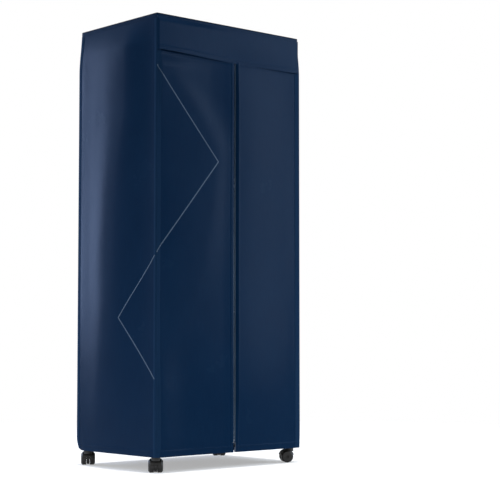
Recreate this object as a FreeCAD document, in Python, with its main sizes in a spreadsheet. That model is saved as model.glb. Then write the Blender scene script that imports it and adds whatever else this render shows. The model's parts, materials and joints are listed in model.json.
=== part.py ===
import FreeCAD, Part
import os
import re
import Sketcher

# Portable clothes dryer: a tube frame on casters, a heater unit on the base rails
# and a fabric cover with two front flaps. Millimetres, floor at z = 0, front at -Y.

SIZES = [
    ("cover_width", 720, "cover, outside width"),
    ("cover_depth", 486, "cover, outside depth over the side panels"),
    ("overall_height", 1700, "floor to the top of the cover"),
    ("hem_height", 57, "floor to the lower edge of the cover"),
    ("fabric", 1.6, "cloth thickness"),
    ("cover_corner", 14, "rounding of the upright edges of the cover"),
    ("top_edge", 12, "rounding of the top edges of the cover"),
    ("lid_skirt", 18, "height of the top panel with its turned-down edge"),
    ("corner_lip", 4, "side panel cloth past the rounded edge"),
    ("seam_gap", 0.4, "gap between neighbouring panels"),
    ("valance_drop", 135, "top of the cover to the lower edge of the valance"),
    ("valance_lean", 3.4, "how far the lower edge of the valance stands out"),
    ("header_setback", 5, "front of the flaps to the header strip behind them"),
    ("header_lap", 44, "header strip below the lower edge of the valance"),
    ("flap_drop", 3, "valance edge to the top of the flaps"),
    ("zip_slit", 6, "zip centre to the cloth edge of a flap"),
    ("zip_offset", 21, "middle of the front to the zip, toward the right"),
    ("tape_width", 9, "width of a zip tape"),
    ("tape_thickness", 0.7, "thickness of a zip tape"),
    ("coil_width", 2.6, "width of the zip coil on one tape"),
    ("coil_thickness", 2.8, "thickness of the zip coil"),
    ("coil_split", 0.8, "zip centre to the coil"),
    ("slider_length", 30, "zip slider, along the zip"),
    ("slider_width", 11, "zip slider, across the zip"),
    ("slider_plate", 1.3, "thickness of each slider plate"),
    ("pull_length", 34, "length of the zip pull"),
    ("pull_width", 8, "width of the zip pull"),
    ("pull_thickness", 1.6, "thickness of the zip pull"),
    ("cover_gap", 5, "side bracket to the inside of the side panel"),
    ("front_gap", 9, "bracket to the inside of the front flaps"),
    ("rest_gap", 0.3, "gap under a piece that lifts off"),
    ("fit_gap", 0.15, "tube in its socket, each side"),
    ("run_gap", 0.05, "running fit, each side"),
    ("socket_size", 36, "socket block, across"),
    ("socket_height", 56, "socket block, height"),
    ("socket_corner", 6, "rounding of the socket block"),
    ("socket_edge", 5, "rounding over the top of the upper sockets"),
    ("socket_depth", 22, "tube inside its socket"),
    ("arm_thickness", 20, "bracket arm, across"),
    ("arm_height", 34, "bracket arm, height"),
    ("arm_recess", 5, "depth of the recesses in the arm"),
    ("arm_rim", 6, "rim round each recess"),
    ("recess_length", 62, "length of a recess"),
    ("post_diameter", 19, "corner post tube"),
    ("rail_diameter", 14, "cross rail tube"),
    ("tube_wall", 1.2, "wall of the tubes"),
    ("rail_collar", 22, "collar round a rail end"),
    ("collar_reach", 30, "post axis to the end of a collar"),
    ("rail_inset", 11, "post axis to the end of a rail"),
    ("inner_rail_share", 0.38, "place of the third rail, share of the half depth"),
    ("inner_rail_drop", 5, "third rail below the other two"),
    ("base_rail_offset", 90, "centre to a base rail"),
    ("base_rail_rise", 4, "base rails above the middle of the block"),
    ("caster_height", 60, "floor to the underside of the base bracket"),
    ("wheel_diameter", 48, "caster wheel"),
    ("wheel_width", 20, "width of one wheel"),
    ("wheel_split", 14, "gap between the two wheels"),
    ("wheel_round", 5, "rounding of the wheel edge"),
    ("axle_diameter", 6, "caster axle"),
    ("caster_trail", 12, "swivel axis to the axle"),
    ("stem_diameter", 11, "caster stem"),
    ("neck_diameter", 34, "caster neck below the base bracket"),
    ("stem_depth", 24, "caster stem inside the bracket"),
    ("fender_gap", 1.2, "wheel to the hood above it"),
    ("fender_wall", 2.2, "wall of the caster hood"),
    ("caster_turn_front_left", 36, "trail direction in degrees from +Y toward +X"),
    ("caster_turn_front_right", 300, "trail direction in degrees from +Y toward +X"),
    ("caster_turn_rear_left", 36, "trail direction in degrees from +Y toward +X"),
    ("caster_turn_rear_right", 225, "trail direction in degrees from +Y toward +X"),
    ("clip_wall", 3, "wall of the rail clips"),
    ("clip_width", 54, "rail clip, along the rail"),
    ("clip_reach", 12, "rail top to the lower end of a clip"),
    ("housing_radius", 110, "heater housing"),
    ("housing_wall", 2.5, "wall of the heater housing"),
    ("tray_height", 16, "base tray of the heater"),
    ("tray_wall", 3, "wall of the base tray"),
    ("tray_foot_inset", 10, "housing to the flat underside of the base tray"),
    ("intake_inset", 52, "housing to the air intake in the base tray"),
    ("side_height", 91, "heater base to the shoulder"),
    ("shoulder_radius", 84, "step of the shoulder"),
    ("shoulder_height", 108, "heater base to the step"),
    ("neck_radius", 67.5, "neck of the housing"),
    ("neck_height", 128, "heater base to the top of the neck"),
    ("neck_opening", 52, "air outlet in the neck"),
    ("cage_foot_radius", 54, "outlet cage, lower end"),
    ("cage_head_radius", 48.5, "outlet cage, upper end"),
    ("cage_waist_radius", 46, "outlet cage, waist"),
    ("cage_height", 60, "height of the outlet cage"),
    ("cage_bar", 3, "bars of the outlet cage"),
    ("cage_ribs", 12, "upright bars of the outlet cage"),
    ("cap_radius", 75, "brim of the outlet cap"),
    ("cap_brim", 3, "thickness of the brim"),
    ("cap_dome_radius", 44, "dome of the outlet cap"),
    ("cap_dome_height", 15, "height of the dome"),
    ("disc_radius", 62, "ceramic heating disc"),
    ("disc_thickness", 20, "ceramic heating disc"),
    ("disc_slot", 3.4, "slots through the heating disc"),
    ("motor_radius", 20, "fan motor"),
    ("motor_height", 30, "fan motor"),
    ("shaft_radius", 2.5, "motor shaft"),
    ("grille_lap", 6, "intake grille beyond the air intake"),
    ("ring_gap", 6, "intake grille to the foot ring of the motor bracket"),
    ("ring_inset", 14, "housing to the foot ring of the motor bracket"),
    ("bracket_plate", 3, "plates of the motor bracket"),
    ("bracket_rise", 30, "heater base to the motor seat"),
    ("hub_radius", 20, "impeller hub"),
    ("hub_height", 18, "impeller hub"),
    ("blade_radius", 56, "impeller, over the blades"),
    ("blade_count", 7, "impeller blades"),
    ("blade_thickness", 1.8, "impeller blades"),
    ("panel_width", 63, "control panel"),
    ("panel_height", 66, "control panel"),
    ("panel_foot", 18, "heater base to the foot of the control panel"),
    ("panel_proud", 4, "control panel in front of the housing"),
    ("panel_depth", 16, "depth of the control panel"),
    ("panel_wall", 3, "front wall of the control panel"),
    ("window_width", 38, "display window"),
    ("window_height", 18, "display window"),
    ("window_rise", 30, "panel foot to the lower edge of the display window"),
    ("window_thickness", 1.5, "display window"),
    ("button_radius", 5, "push buttons"),
    ("button_pitch", 17, "push buttons"),
    ("button_rise", 15, "panel foot to the push buttons"),
    ("button_proud", 1.4, "push buttons above the panel"),
    ("button_flange", 1.2, "flange behind the panel"),
    ("board_width", 52, "control board"),
    ("board_height", 50, "control board"),
    ("board_thickness", 1.6, "control board"),
    ("inlet_width", 30, "power inlet"),
    ("inlet_height", 22, "power inlet"),
    ("inlet_depth", 22, "power inlet"),
    ("inlet_rise", 44, "heater base to the middle of the power inlet"),
    ("screw_radius", 1.8, "bracket screws"),
    ("screw_head_radius", 3.6, "bracket screws"),
    ("screw_head", 2, "bracket screws"),
]

doc = FreeCAD.newDocument("clothes_dryer")
sheet = doc.addObject("Spreadsheet::Sheet", "Sizes")
for row, (alias, number, note) in enumerate(SIZES, start=1):
    sheet.set(f"A{row}", note)
    sheet.set(f"B{row}", str(number))
    sheet.setAlias(f"B{row}", alias)
doc.recompute()

ALIASES = {alias for alias, number, note in SIZES}
WORD = re.compile(r"[a-z][a-z0-9_]*")
UPRIGHT = FreeCAD.Rotation()
ALONG_X = FreeCAD.Rotation(FreeCAD.Vector(0, 1, 0), 90)
ALONG_Y = FreeCAD.Rotation(FreeCAD.Vector(1, 0, 0), -90)
pieces = []


def bound(expression):
    """Expression text with every size name pointing at its cell."""
    return WORD.sub(lambda m: f"Sizes.{m.group()}" if m.group() in ALIASES else m.group(), str(expression))


def value(expression):
    return float(sheet.evalExpression(bound(expression)))


def bind(thing, **expressions):
    for name, expression in expressions.items():
        thing.setExpression(name, bound(expression))


def place(thing, x="0", y="0", z="0", rotation=UPRIGHT):
    """Put a piece at a point given by three expressions."""
    point = FreeCAD.Vector(value(x), value(y), value(z))
    thing.Placement = FreeCAD.Placement(point, rotation)
    for axis, expression in (("x", x), ("y", y), ("z", z)):
        thing.setExpression(f"Placement.Base.{axis}", bound(expression))
    return thing


def keep(thing, label):
    """Name a finished piece; its label is its file name."""
    thing.Label = label
    pieces.append(thing)
    return thing


def box(name, length, width, height, x, y, z):
    block = doc.addObject("Part::Box", name)
    bind(block, Length=length, Width=width, Height=height)
    return place(block, x, y, z)


def rod(name, radius, height, x="0", y="0", z="0", rotation=UPRIGHT):
    bar = doc.addObject("Part::Cylinder", name)
    bind(bar, Radius=radius, Height=height)
    return place(bar, x, y, z, rotation)


def cut(name, base, tool):
    result = doc.addObject("Part::Cut", name)
    result.Base = base
    result.Tool = tool
    return result


def group(name, members):
    result = doc.addObject("Part::Compound", name)
    result.Links = members
    return result


def tube(name, radius, length, x, y, z, rotation=UPRIGHT):
    outside = rod(f"{name}_outside", radius, length, x, y, z, rotation)
    inside = rod(f"{name}_inside", f"{radius} - tube_wall", length, x, y, z, rotation)
    return cut(name, outside, inside)


def new_body(name):
    return doc.addObject("PartDesign::Body", name)


def origin(body, role):
    return next(feature for feature in body.Origin.OriginFeatures if feature.Role == role)


def sketch(body, name, plane="XY_Plane", offset="0"):
    drawing = body.newObject("Sketcher::SketchObject", name)
    drawing.AttachmentSupport = [(origin(body, plane), "")]
    drawing.MapMode = "FlatFace"
    drawing.setExpression("AttachmentOffset.Base.z", bound(offset))
    return drawing


def pin_point(drawing, edge, vertex, x, y):
    """Hold a sketch point at two expressions measured from the sketch origin."""
    for kind, expression, axis in (("DistanceX", x, -2), ("DistanceY", y, -1)):
        if expression == "0":
            drawing.addConstraint(Sketcher.Constraint("PointOnObject", edge, vertex, axis))
        else:
            held = Sketcher.Constraint(kind, -1, 1, edge, vertex, value(expression))
            number = drawing.addConstraint(held)
            drawing.setExpression(f"Constraints[{number}]", bound(expression))


def polygon(drawing, corners):
    first = drawing.GeometryCount
    points = [FreeCAD.Vector(value(x), value(y), 0) for x, y in corners]
    count = len(points)
    for k in range(count):
        drawing.addGeometry(Part.LineSegment(points[k], points[(k + 1) % count]), False)
    for k in range(count):
        following = first + (k + 1) % count
        drawing.addConstraint(Sketcher.Constraint("Coincident", first + k, 2, following, 1))
    for k, (x, y) in enumerate(corners):
        pin_point(drawing, first + k, 1, x, y)
    return drawing


def rectangle(drawing, x_low, x_high, y_low, y_high):
    return polygon(drawing, [(x_low, y_low), (x_high, y_low), (x_high, y_high), (x_low, y_high)])


def circle(drawing, radius, x="0", y="0"):
    centre = FreeCAD.Vector(value(x), value(y), 0)
    edge = drawing.addGeometry(Part.Circle(centre, FreeCAD.Vector(0, 0, 1), value(radius)), False)
    number = drawing.addConstraint(Sketcher.Constraint("Radius", edge, value(radius)))
    drawing.setExpression(f"Constraints[{number}]", bound(radius))
    pin_point(drawing, edge, 3, x, y)
    return drawing


def arch(drawing, half_width, low, high):
    """Outline with straight sides and a half-round head."""
    w = value(half_width)
    spring = f"({high}) - ({half_width})"
    s = value(spring)
    b = value(low)
    first = drawing.GeometryCount
    corners = [(-w, s), (-w, b), (w, b), (w, s)]
    points = [FreeCAD.Vector(x, y, 0) for x, y in corners]
    for k in range(3):
        drawing.addGeometry(Part.LineSegment(points[k], points[k + 1]), False)
    crown = FreeCAD.Vector(0, s + w, 0)
    drawing.addGeometry(Part.Arc(points[3], crown, points[0]), False)
    for k in range(2):
        drawing.addConstraint(Sketcher.Constraint("Coincident", first + k, 2, first + k + 1, 1))
    head = first + 3
    drawing.addConstraint(Sketcher.Constraint("Coincident", first + 2, 2, head, 1))
    drawing.addConstraint(Sketcher.Constraint("Coincident", head, 2, first, 1))
    pin_point(drawing, first, 1, f"-({half_width})", spring)
    pin_point(drawing, first + 1, 1, f"-({half_width})", low)
    pin_point(drawing, first + 2, 1, half_width, low)
    pin_point(drawing, first + 2, 2, half_width, spring)
    number = drawing.addConstraint(Sketcher.Constraint("DistanceY", -1, 1, head, 3, s))
    drawing.setExpression(f"Constraints[{number}]", bound(spring))
    return drawing


def grow(body, kind, drawing, length, name, reverse=False, both=False):
    """Pad or pocket a sketch by an expression."""
    feature = body.newObject(f"PartDesign::{kind}", name)
    feature.Profile = drawing
    feature.setExpression("Length", bound(length))
    feature.Reversed = reverse
    if both:
        feature.SideType = "Symmetric"
    doc.recompute()
    return feature


def pad(body, drawing, length, name, reverse=False, both=False):
    return grow(body, "Pad", drawing, length, name, reverse, both)


def pocket(body, drawing, length, name, reverse=False, both=False):
    return grow(body, "Pocket", drawing, length, name, reverse, both)


def turn(body, drawing, axis, name):
    """Turn a sketch a full round about one of the body's axes."""
    feature = body.newObject("PartDesign::Revolution", name)
    feature.Profile = drawing
    feature.ReferenceAxis = (origin(body, axis), [""])
    feature.Angle = 360
    doc.recompute()
    return feature


def ring_of(body, feature, count, name):
    """Repeat a feature evenly round the body's upright axis."""
    pattern = body.newObject("PartDesign::PolarPattern", name)
    pattern.Originals = [feature]
    pattern.Axis = (origin(body, "Z_Axis"), [""])
    pattern.Angle = 360
    pattern.setExpression("Occurrences", bound(count))
    body.Tip = pattern
    doc.recompute()
    return pattern


def soften(body, base, radius, wanted, name):
    """Round the edges of a feature that a test picks."""
    edges = [f"Edge{k}" for k, edge in enumerate(base.Shape.Edges, start=1) if wanted(edge)]
    feature = body.newObject("PartDesign::Fillet", name)
    feature.Base = (base, edges)
    feature.setExpression("Radius", bound(radius))
    doc.recompute()
    return feature


def is_upright(edge):
    if edge.Curve.TypeId != "Part::GeomLine":
        return False
    return abs(edge.tangentAt(edge.FirstParameter).z) > 0.99


# Places shared by several pieces.
POST_X = "(cover_width / 2 - fabric - cover_gap - socket_size / 2)"
POST_Y = "(cover_depth / 2 - fabric - front_gap - socket_size / 2)"
FRAME_TOP = "(overall_height - fabric - rest_gap)"
LOW_LEVEL = "(caster_height + socket_height / 2)"
LEVEL_STEP = f"(({FRAME_TOP} - socket_height / 2 - {LOW_LEVEL}) / 3)"
LEVELS = {
    "base": LOW_LEVEL,
    "lower": f"({LOW_LEVEL} + {LEVEL_STEP})",
    "middle": f"({LOW_LEVEL} + 2 * {LEVEL_STEP})",
    "top": f"({LOW_LEVEL} + 3 * {LEVEL_STEP})",
}
SIDES = {"left": -1, "right": 1}
ENDS = {"front": -1, "rear": 1}
INNER_RAIL_Y = f"({POST_Y} * inner_rail_share)"


def rail_spots(level):
    """Rail places of a level as (y, height above the block middle)."""
    if level == "base":
        return [("-base_rail_offset", "base_rail_rise"), ("base_rail_offset", "base_rail_rise")]
    return [(f"-{POST_Y}", "0"), (INNER_RAIL_Y, "-inner_rail_drop"), (POST_Y, "0")]


def side_bracket(level, side):
    """Moulded arm with a socket block at each end and a collar for each rail."""
    name = f"{level}_bracket_{side}"
    body = new_body(name)
    half_block = "socket_size / 2"
    inward = -SIDES[side]

    arm = sketch(body, f"{name}_arm_outline")
    rectangle(arm, "-arm_thickness / 2", "arm_thickness / 2", f"-{POST_Y}", POST_Y)
    pad(body, arm, "arm_height", f"{name}_arm", both=True)

    blocks = sketch(body, f"{name}_block_outline")
    for sign in ("-", ""):
        centre = f"{sign}{POST_Y}"
        rectangle(blocks, f"-{half_block}", half_block, f"{centre} - {half_block}", f"{centre} + {half_block}")
    sockets = pad(body, blocks, "socket_height", f"{name}_blocks", both=True)
    limit = value("socket_height") * 0.9
    rounded = soften(body, sockets, "socket_corner", lambda e: is_upright(e) and e.Length > limit, f"{name}_round")
    if level == "top":
        crown = value("socket_height") * 0.49
        soften(body, rounded, "socket_edge", lambda e: e.BoundBox.ZMin > crown, f"{name}_crown")

    collars = sketch(body, f"{name}_collar_outline", "YZ_Plane")
    for y, rise in rail_spots(level):
        circle(collars, "rail_collar / 2", y, rise)
    pad(body, collars, "collar_reach", f"{name}_collars", reverse=inward < 0)

    recess = sketch(body, f"{name}_recess_outline", "YZ_Plane", f"{-inward} * arm_thickness / 2")
    for sign in (-1, 1):
        middle = f"{sign} * {POST_Y} / 2"
        high = "arm_height / 2 - arm_rim"
        rectangle(recess, f"{middle} - recess_length / 2", f"{middle} + recess_length / 2", f"-({high})", high)
    pocket(body, recess, "arm_recess", f"{name}_recesses", reverse=inward > 0)

    seats = sketch(body, f"{name}_seat_outline", "YZ_Plane", f"{inward} * (rail_inset)")
    for y, rise in rail_spots(level):
        circle(seats, "rail_diameter / 2 + fit_gap", y, rise)
    pocket(body, seats, "collar_reach", f"{name}_seats", reverse=inward > 0)

    if level != "top":
        upper = sketch(body, f"{name}_upper_outline", offset="socket_height / 2 - socket_depth")
        for sign in ("-", ""):
            circle(upper, "post_diameter / 2 + fit_gap", "0", f"{sign}{POST_Y}")
        pocket(body, upper, "socket_height", f"{name}_upper_bores", reverse=True)
    if level == "base":
        depth = "stem_depth + rest_gap"
        radius = "stem_diameter / 2 + run_gap"
    else:
        depth = "socket_depth"
        radius = "post_diameter / 2 + fit_gap"
    under = sketch(body, f"{name}_under_outline", offset=f"{depth} - socket_height / 2")
    for sign in ("-", ""):
        circle(under, radius, "0", f"{sign}{POST_Y}")
    pocket(body, under, "socket_height", f"{name}_under_bores")
    place(body, f"{SIDES[side]} * {POST_X}", "0", LEVELS[level])
    keep(body, name)


for level in LEVELS:
    for side in SIDES:
        side_bracket(level, side)


def corner_post(end, side):
    """Three push-fit tubes standing one above the other."""
    name = f"post_{end}_{side}"
    length = f"{LEVEL_STEP} - socket_height + 2 * (socket_depth - fit_gap)"
    tubes = []
    for level in ("base", "lower", "middle"):
        foot = f"{LEVELS[level]} + socket_height / 2 - socket_depth + fit_gap"
        x = f"{SIDES[side]} * {POST_X}"
        y = f"{ENDS[end]} * {POST_Y}"
        tubes.append(tube(f"{name}_{level}", "post_diameter / 2", length, x, y, foot))
    keep(group(name, tubes), name)


for end in ENDS:
    for side in SIDES:
        corner_post(end, side)

for level in LEVELS:
    half = f"({POST_X} - rail_inset - fit_gap)"
    rails = []
    for number, (y, rise) in enumerate(rail_spots(level), start=1):
        middle = f"{LEVELS[level]} + {rise}"
        rail = tube(f"{level}_rail_{number}", "rail_diameter / 2", f"2 * {half}", f"-{half}", y, middle, ALONG_X)
        rails.append(rail)
    keep(group(f"{level}_rails", rails), f"{level}_rails")

WHEEL_RADIUS = "wheel_diameter / 2"
HOOD_RADIUS = "(wheel_diameter / 2 + fender_gap + fender_wall)"
TWIN_HALF = "(wheel_split / 2 + wheel_width)"


def caster(end, side):
    """Twin-wheel caster; the local origin is on the swivel axis at the floor."""
    spot = f"{end}_{side}"
    x = f"{SIDES[side]} * {POST_X}"
    y = f"{ENDS[end]} * {POST_Y}"
    heading = FreeCAD.Rotation(FreeCAD.Vector(0, 0, 1), -value(f"caster_turn_{spot}"))

    hood = new_body(f"caster_hood_{spot}")
    web = sketch(hood, f"hood_web_outline_{spot}", "YZ_Plane")
    circle(web, "wheel_diameter / 2 - fender_wall", "caster_trail", WHEEL_RADIUS)
    pad(hood, web, "wheel_split - 2 * fender_gap", f"hood_web_{spot}", both=True)
    dome = sketch(hood, f"hood_dome_outline_{spot}", "YZ_Plane")
    circle(dome, HOOD_RADIUS, "caster_trail", WHEEL_RADIUS)
    domed = pad(hood, dome, f"2 * ({TWIN_HALF} - wheel_round)", f"hood_dome_{spot}", both=True)
    rim = value(HOOD_RADIUS)
    soften(hood, domed, "fender_wall", lambda e: e.Length > 6 * rim, f"hood_dome_round_{spot}")
    boss = sketch(hood, f"hood_boss_outline_{spot}", offset="wheel_diameter - fender_wall * 2")
    circle(boss, "neck_diameter / 2")
    boss_height = "caster_height - rest_gap - wheel_diameter + fender_wall * 2"
    pad(hood, boss, boss_height, f"hood_boss_{spot}")
    stem = sketch(hood, f"hood_stem_outline_{spot}", offset="wheel_diameter - fender_wall * 2")
    circle(stem, "stem_diameter / 2")
    pad(hood, stem, "caster_height + stem_depth - wheel_diameter + fender_wall * 2", f"hood_stem_{spot}")
    for sign in (-1, 1):
        hand = "outer" if sign > 0 else "inner"
        bay = sketch(hood, f"hood_bay_outline_{hand}_{spot}", "YZ_Plane", f"{sign} * (wheel_split / 2 - fender_gap)")
        circle(bay, f"{WHEEL_RADIUS} + fender_gap", "caster_trail", WHEEL_RADIUS)
        pocket(hood, bay, f"2 * {TWIN_HALF}", f"hood_bay_{hand}_{spot}", reverse=sign > 0)
    skirt = sketch(hood, f"hood_skirt_outline_{spot}", "YZ_Plane")
    far = f"2 * {HOOD_RADIUS}"
    skirt_line = f"{WHEEL_RADIUS} + caster_trail / 2"
    rectangle(skirt, f"-({far})", f"2 * ({far})", f"-({far})", skirt_line)
    pocket(hood, skirt, f"4 * {TWIN_HALF}", f"hood_skirt_{spot}", both=True)
    hub = sketch(hood, f"hood_hub_outline_{spot}", "YZ_Plane")
    circle(hub, "wheel_diameter / 2 - fender_wall", "caster_trail", WHEEL_RADIUS)
    pad(hood, hub, "wheel_split - 2 * fender_gap", f"hood_hub_{spot}", both=True)
    bore = sketch(hood, f"hood_bore_outline_{spot}", "YZ_Plane")
    circle(bore, "axle_diameter / 2 + run_gap", "caster_trail", WHEEL_RADIUS)
    pocket(hood, bore, f"2 * {TWIN_HALF}", f"hood_bore_{spot}", both=True)
    place(hood, x, y, "0", heading)
    keep(hood, f"caster_hood_{spot}")

    axle = new_body(f"caster_axle_{spot}")
    pin = sketch(axle, f"axle_outline_{spot}", "YZ_Plane")
    circle(pin, "axle_diameter / 2", "caster_trail", WHEEL_RADIUS)
    pad(axle, pin, f"2 * ({TWIN_HALF} - wheel_round)", f"axle_pin_{spot}", both=True)
    place(axle, x, y, "0", heading)
    keep(axle, f"caster_axle_{spot}")

    wheels = new_body(f"caster_wheels_{spot}")
    wheels.AllowCompound = True
    face = sketch(wheels, f"wheel_outline_{spot}", "XY_Plane")
    for sign in (-1, 1):
        near = f"{sign} * wheel_split / 2"
        outer = f"{sign} * {TWIN_HALF}"
        shoulder = f"{sign} * ({TWIN_HALF} - wheel_round)"
        polygon(
            face,
            [
                (near, "axle_diameter / 2 + run_gap"),
                (shoulder, "axle_diameter / 2 + run_gap"),
                (shoulder, "axle_diameter"),
                (outer, "axle_diameter"),
                (outer, f"{WHEEL_RADIUS} - wheel_round"),
                (shoulder, WHEEL_RADIUS),
                (near, WHEEL_RADIUS),
            ],
        )
    turn(wheels, face, "X_Axis", f"wheel_turned_{spot}")
    lead = f"caster_trail * sin(caster_turn_{spot} * 1 deg)"
    swing = f"caster_trail * cos(caster_turn_{spot} * 1 deg)"
    place(wheels, f"{x} + {lead}", f"{y} + {swing}", WHEEL_RADIUS, heading)
    keep(wheels, f"caster_wheels_{spot}")


for end in ENDS:
    for side in SIDES:
        caster(end, side)

# Fabric cover.
FRONT = "(cover_depth / 2)"
LID_LOW = "(overall_height - lid_skirt)"
PANEL_TOP = f"({LID_LOW} - seam_gap)"
FLAP_TOP = "(overall_height - valance_drop - flap_drop)"
HINGE_X = "(cover_width / 2 - cover_corner - corner_lip - seam_gap)"

lid = new_body("cover_top_panel")
lid_outline = sketch(lid, "lid_outline")
rectangle(lid_outline, "-cover_width / 2", "cover_width / 2", f"-{FRONT}", FRONT)
lid_block = pad(lid, lid_outline, "lid_skirt", "lid_block")
lid_corners = soften(lid, lid_block, "cover_corner", is_upright, "lid_corners")
lid_high = value("lid_skirt")
lid_round = soften(lid, lid_corners, "top_edge", lambda e: e.BoundBox.ZMin > lid_high - 0.001, "lid_round")
lid_open = lid.newObject("PartDesign::Thickness", "lid_hollow")
underside = [f"Face{k}" for k, face in enumerate(lid_round.Shape.Faces, start=1) if face.BoundBox.ZMax < 0.001]
lid_open.Base = (lid_round, underside)
bind(lid_open, Value="fabric")
doc.recompute()
place(lid, z=LID_LOW)
keep(lid, "cover_top_panel")


def side_panel(side):
    """Side cloth that turns both upright corners."""
    name = f"cover_{side}_panel"
    body = new_body(name)
    outline = sketch(body, f"{name}_outline")
    rectangle(outline, "0", "cover_corner + corner_lip", f"-{FRONT}", FRONT)
    block = pad(body, outline, f"{PANEL_TOP} - hem_height", f"{name}_block")
    rounded = soften(
        body, block, "cover_corner", lambda e: is_upright(e) and e.BoundBox.XMax < 0.001, f"{name}_corners"
    )
    tall = value(f"{PANEL_TOP} - hem_height")
    deep = value("cover_corner + corner_lip")

    def is_open(face):
        bounds = face.BoundBox
        return bounds.ZMax < 0.001 or bounds.ZMin > tall - 0.001 or bounds.XMin > deep - 0.001

    hollow = body.newObject("PartDesign::Thickness", f"{name}_hollow")
    faces = [f"Face{k}" for k, face in enumerate(rounded.Shape.Faces, start=1) if is_open(face)]
    hollow.Base = (rounded, faces)
    bind(hollow, Value="fabric")
    doc.recompute()
    if side == "left":
        place(body, "-cover_width / 2", "0", "hem_height")
    else:
        place(body, "cover_width / 2", "0", "hem_height", FreeCAD.Rotation(FreeCAD.Vector(0, 0, 1), 180))
    keep(body, name)


for side in SIDES:
    side_panel(side)

back_half = HINGE_X
back = box(
    "cover_back_panel",
    f"2 * {back_half}",
    "fabric",
    f"{PANEL_TOP} - hem_height",
    f"-{back_half}",
    f"{FRONT} - fabric",
    "hem_height",
)
keep(back, "cover_back_panel")

header_low = "(overall_height - valance_drop - header_lap)"
header_rise = "sqrt((top_edge - fabric)^2 - (top_edge - header_setback)^2)"
header_high = f"(overall_height - top_edge + {header_rise} - seam_gap / 2)"
header = box(
    "cover_header",
    f"2 * ({HINGE_X} - corner_lip)",
    "fabric",
    f"{header_high} - {header_low}",
    f"-({HINGE_X} - corner_lip)",
    f"-{FRONT} + header_setback",
    header_low,
)
keep(header, "cover_header")

valance = new_body("cover_valance")
valance_side = sketch(valance, "valance_outline", "YZ_Plane")
valance_low = "overall_height - valance_drop"
valance_high = "overall_height - top_edge"
polygon(
    valance_side,
    [
        (f"-{FRONT} - seam_gap / 2 - fabric - valance_lean", valance_low),
        (f"-{FRONT} - seam_gap / 2 - valance_lean", valance_low),
        (f"-{FRONT} - seam_gap / 2", valance_high),
        (f"-{FRONT} - seam_gap / 2 - fabric", valance_high),
    ],
)
pad(valance, valance_side, "cover_width - 1.2 * cover_corner", "valance_cloth", both=True)
place(valance)
keep(valance, "cover_valance")

FLAP_FRONT = f"(-{FRONT})"
TAPE_BACK = f"({FLAP_FRONT} + fabric)"
SLIDER_REST = "(hem_height + 8)"
ZIP_LOW = f"({SLIDER_REST} + slider_length + 1)"
ZIP_HIGH = f"({FLAP_TOP} - slider_length - 4)"
for side, sign in SIDES.items():
    width = f"({HINGE_X} - {sign} * zip_offset - zip_slit)"
    left_edge = f"-{HINGE_X}" if sign < 0 else "zip_offset + zip_slit"
    flap = box(
        f"front_{side}_flap",
        width,
        "fabric",
        f"{FLAP_TOP} - hem_height",
        left_edge,
        FLAP_FRONT,
        "hem_height",
    )
    keep(flap, f"front_{side}_flap")

    tape = new_body(f"zip_tape_{side}")
    section = sketch(tape, f"zip_section_{side}")
    coil_near = f"{sign} * coil_split"
    coil_far = f"{sign} * (coil_split + coil_width)"
    tape_far = f"{sign} * (coil_split + coil_width + tape_width)"
    coil_front = f"{TAPE_BACK} + tape_thickness - coil_thickness"
    polygon(
        section,
        [
            (coil_near, coil_front),
            (coil_far, coil_front),
            (coil_far, TAPE_BACK),
            (tape_far, TAPE_BACK),
            (tape_far, f"{TAPE_BACK} + tape_thickness"),
            (coil_near, f"{TAPE_BACK} + tape_thickness"),
        ],
    )
    pad(tape, section, f"{ZIP_HIGH} - {ZIP_LOW}", f"zip_strip_{side}")
    place(tape, "zip_offset", z=ZIP_LOW)
    keep(tape, f"zip_tape_{side}")

COIL_FRONT = f"({TAPE_BACK} + tape_thickness - coil_thickness)"
COIL_BACK = f"({TAPE_BACK} + tape_thickness)"
slider = new_body("zip_slider")
plates = sketch(slider, "slider_section")
half_slider = "slider_width / 2"
polygon(
    plates,
    [
        (f"-({half_slider})", f"{COIL_FRONT} - rest_gap - slider_plate"),
        (half_slider, f"{COIL_FRONT} - rest_gap - slider_plate"),
        (half_slider, f"{COIL_FRONT} - rest_gap"),
        ("coil_split - rest_gap", f"{COIL_FRONT} - rest_gap"),
        ("coil_split - rest_gap", f"{COIL_BACK} + rest_gap"),
        (half_slider, f"{COIL_BACK} + rest_gap"),
        (half_slider, f"{COIL_BACK} + rest_gap + slider_plate"),
        (f"-({half_slider})", f"{COIL_BACK} + rest_gap + slider_plate"),
        (f"-({half_slider})", f"{COIL_BACK} + rest_gap"),
        ("-(coil_split - rest_gap)", f"{COIL_BACK} + rest_gap"),
        ("-(coil_split - rest_gap)", f"{COIL_FRONT} - rest_gap"),
        (f"-({half_slider})", f"{COIL_FRONT} - rest_gap"),
    ],
)
pad(slider, plates, "slider_length", "slider_plates")
SLIDER_FACE = f"({COIL_FRONT} - rest_gap - slider_plate)"
bail = sketch(slider, "slider_bail_outline", "YZ_Plane")
bail_out = f"{SLIDER_FACE} - 2 * pull_thickness - 3 * rest_gap - slider_plate"
polygon(
    bail,
    [
        (SLIDER_FACE, "slider_length * 0.45"),
        (bail_out, "slider_length * 0.45"),
        (bail_out, "slider_length * 0.85"),
        (SLIDER_FACE, "slider_length * 0.85"),
        (SLIDER_FACE, "slider_length * 0.75"),
        (f"{bail_out} + slider_plate", "slider_length * 0.75"),
        (f"{bail_out} + slider_plate", "slider_length * 0.55"),
        (SLIDER_FACE, "slider_length * 0.55"),
    ],
)
pad(slider, bail, "pull_width * 0.3", "slider_bail", both=True)
place(slider, "zip_offset", z=SLIDER_REST)
keep(slider, "zip_slider")

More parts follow.
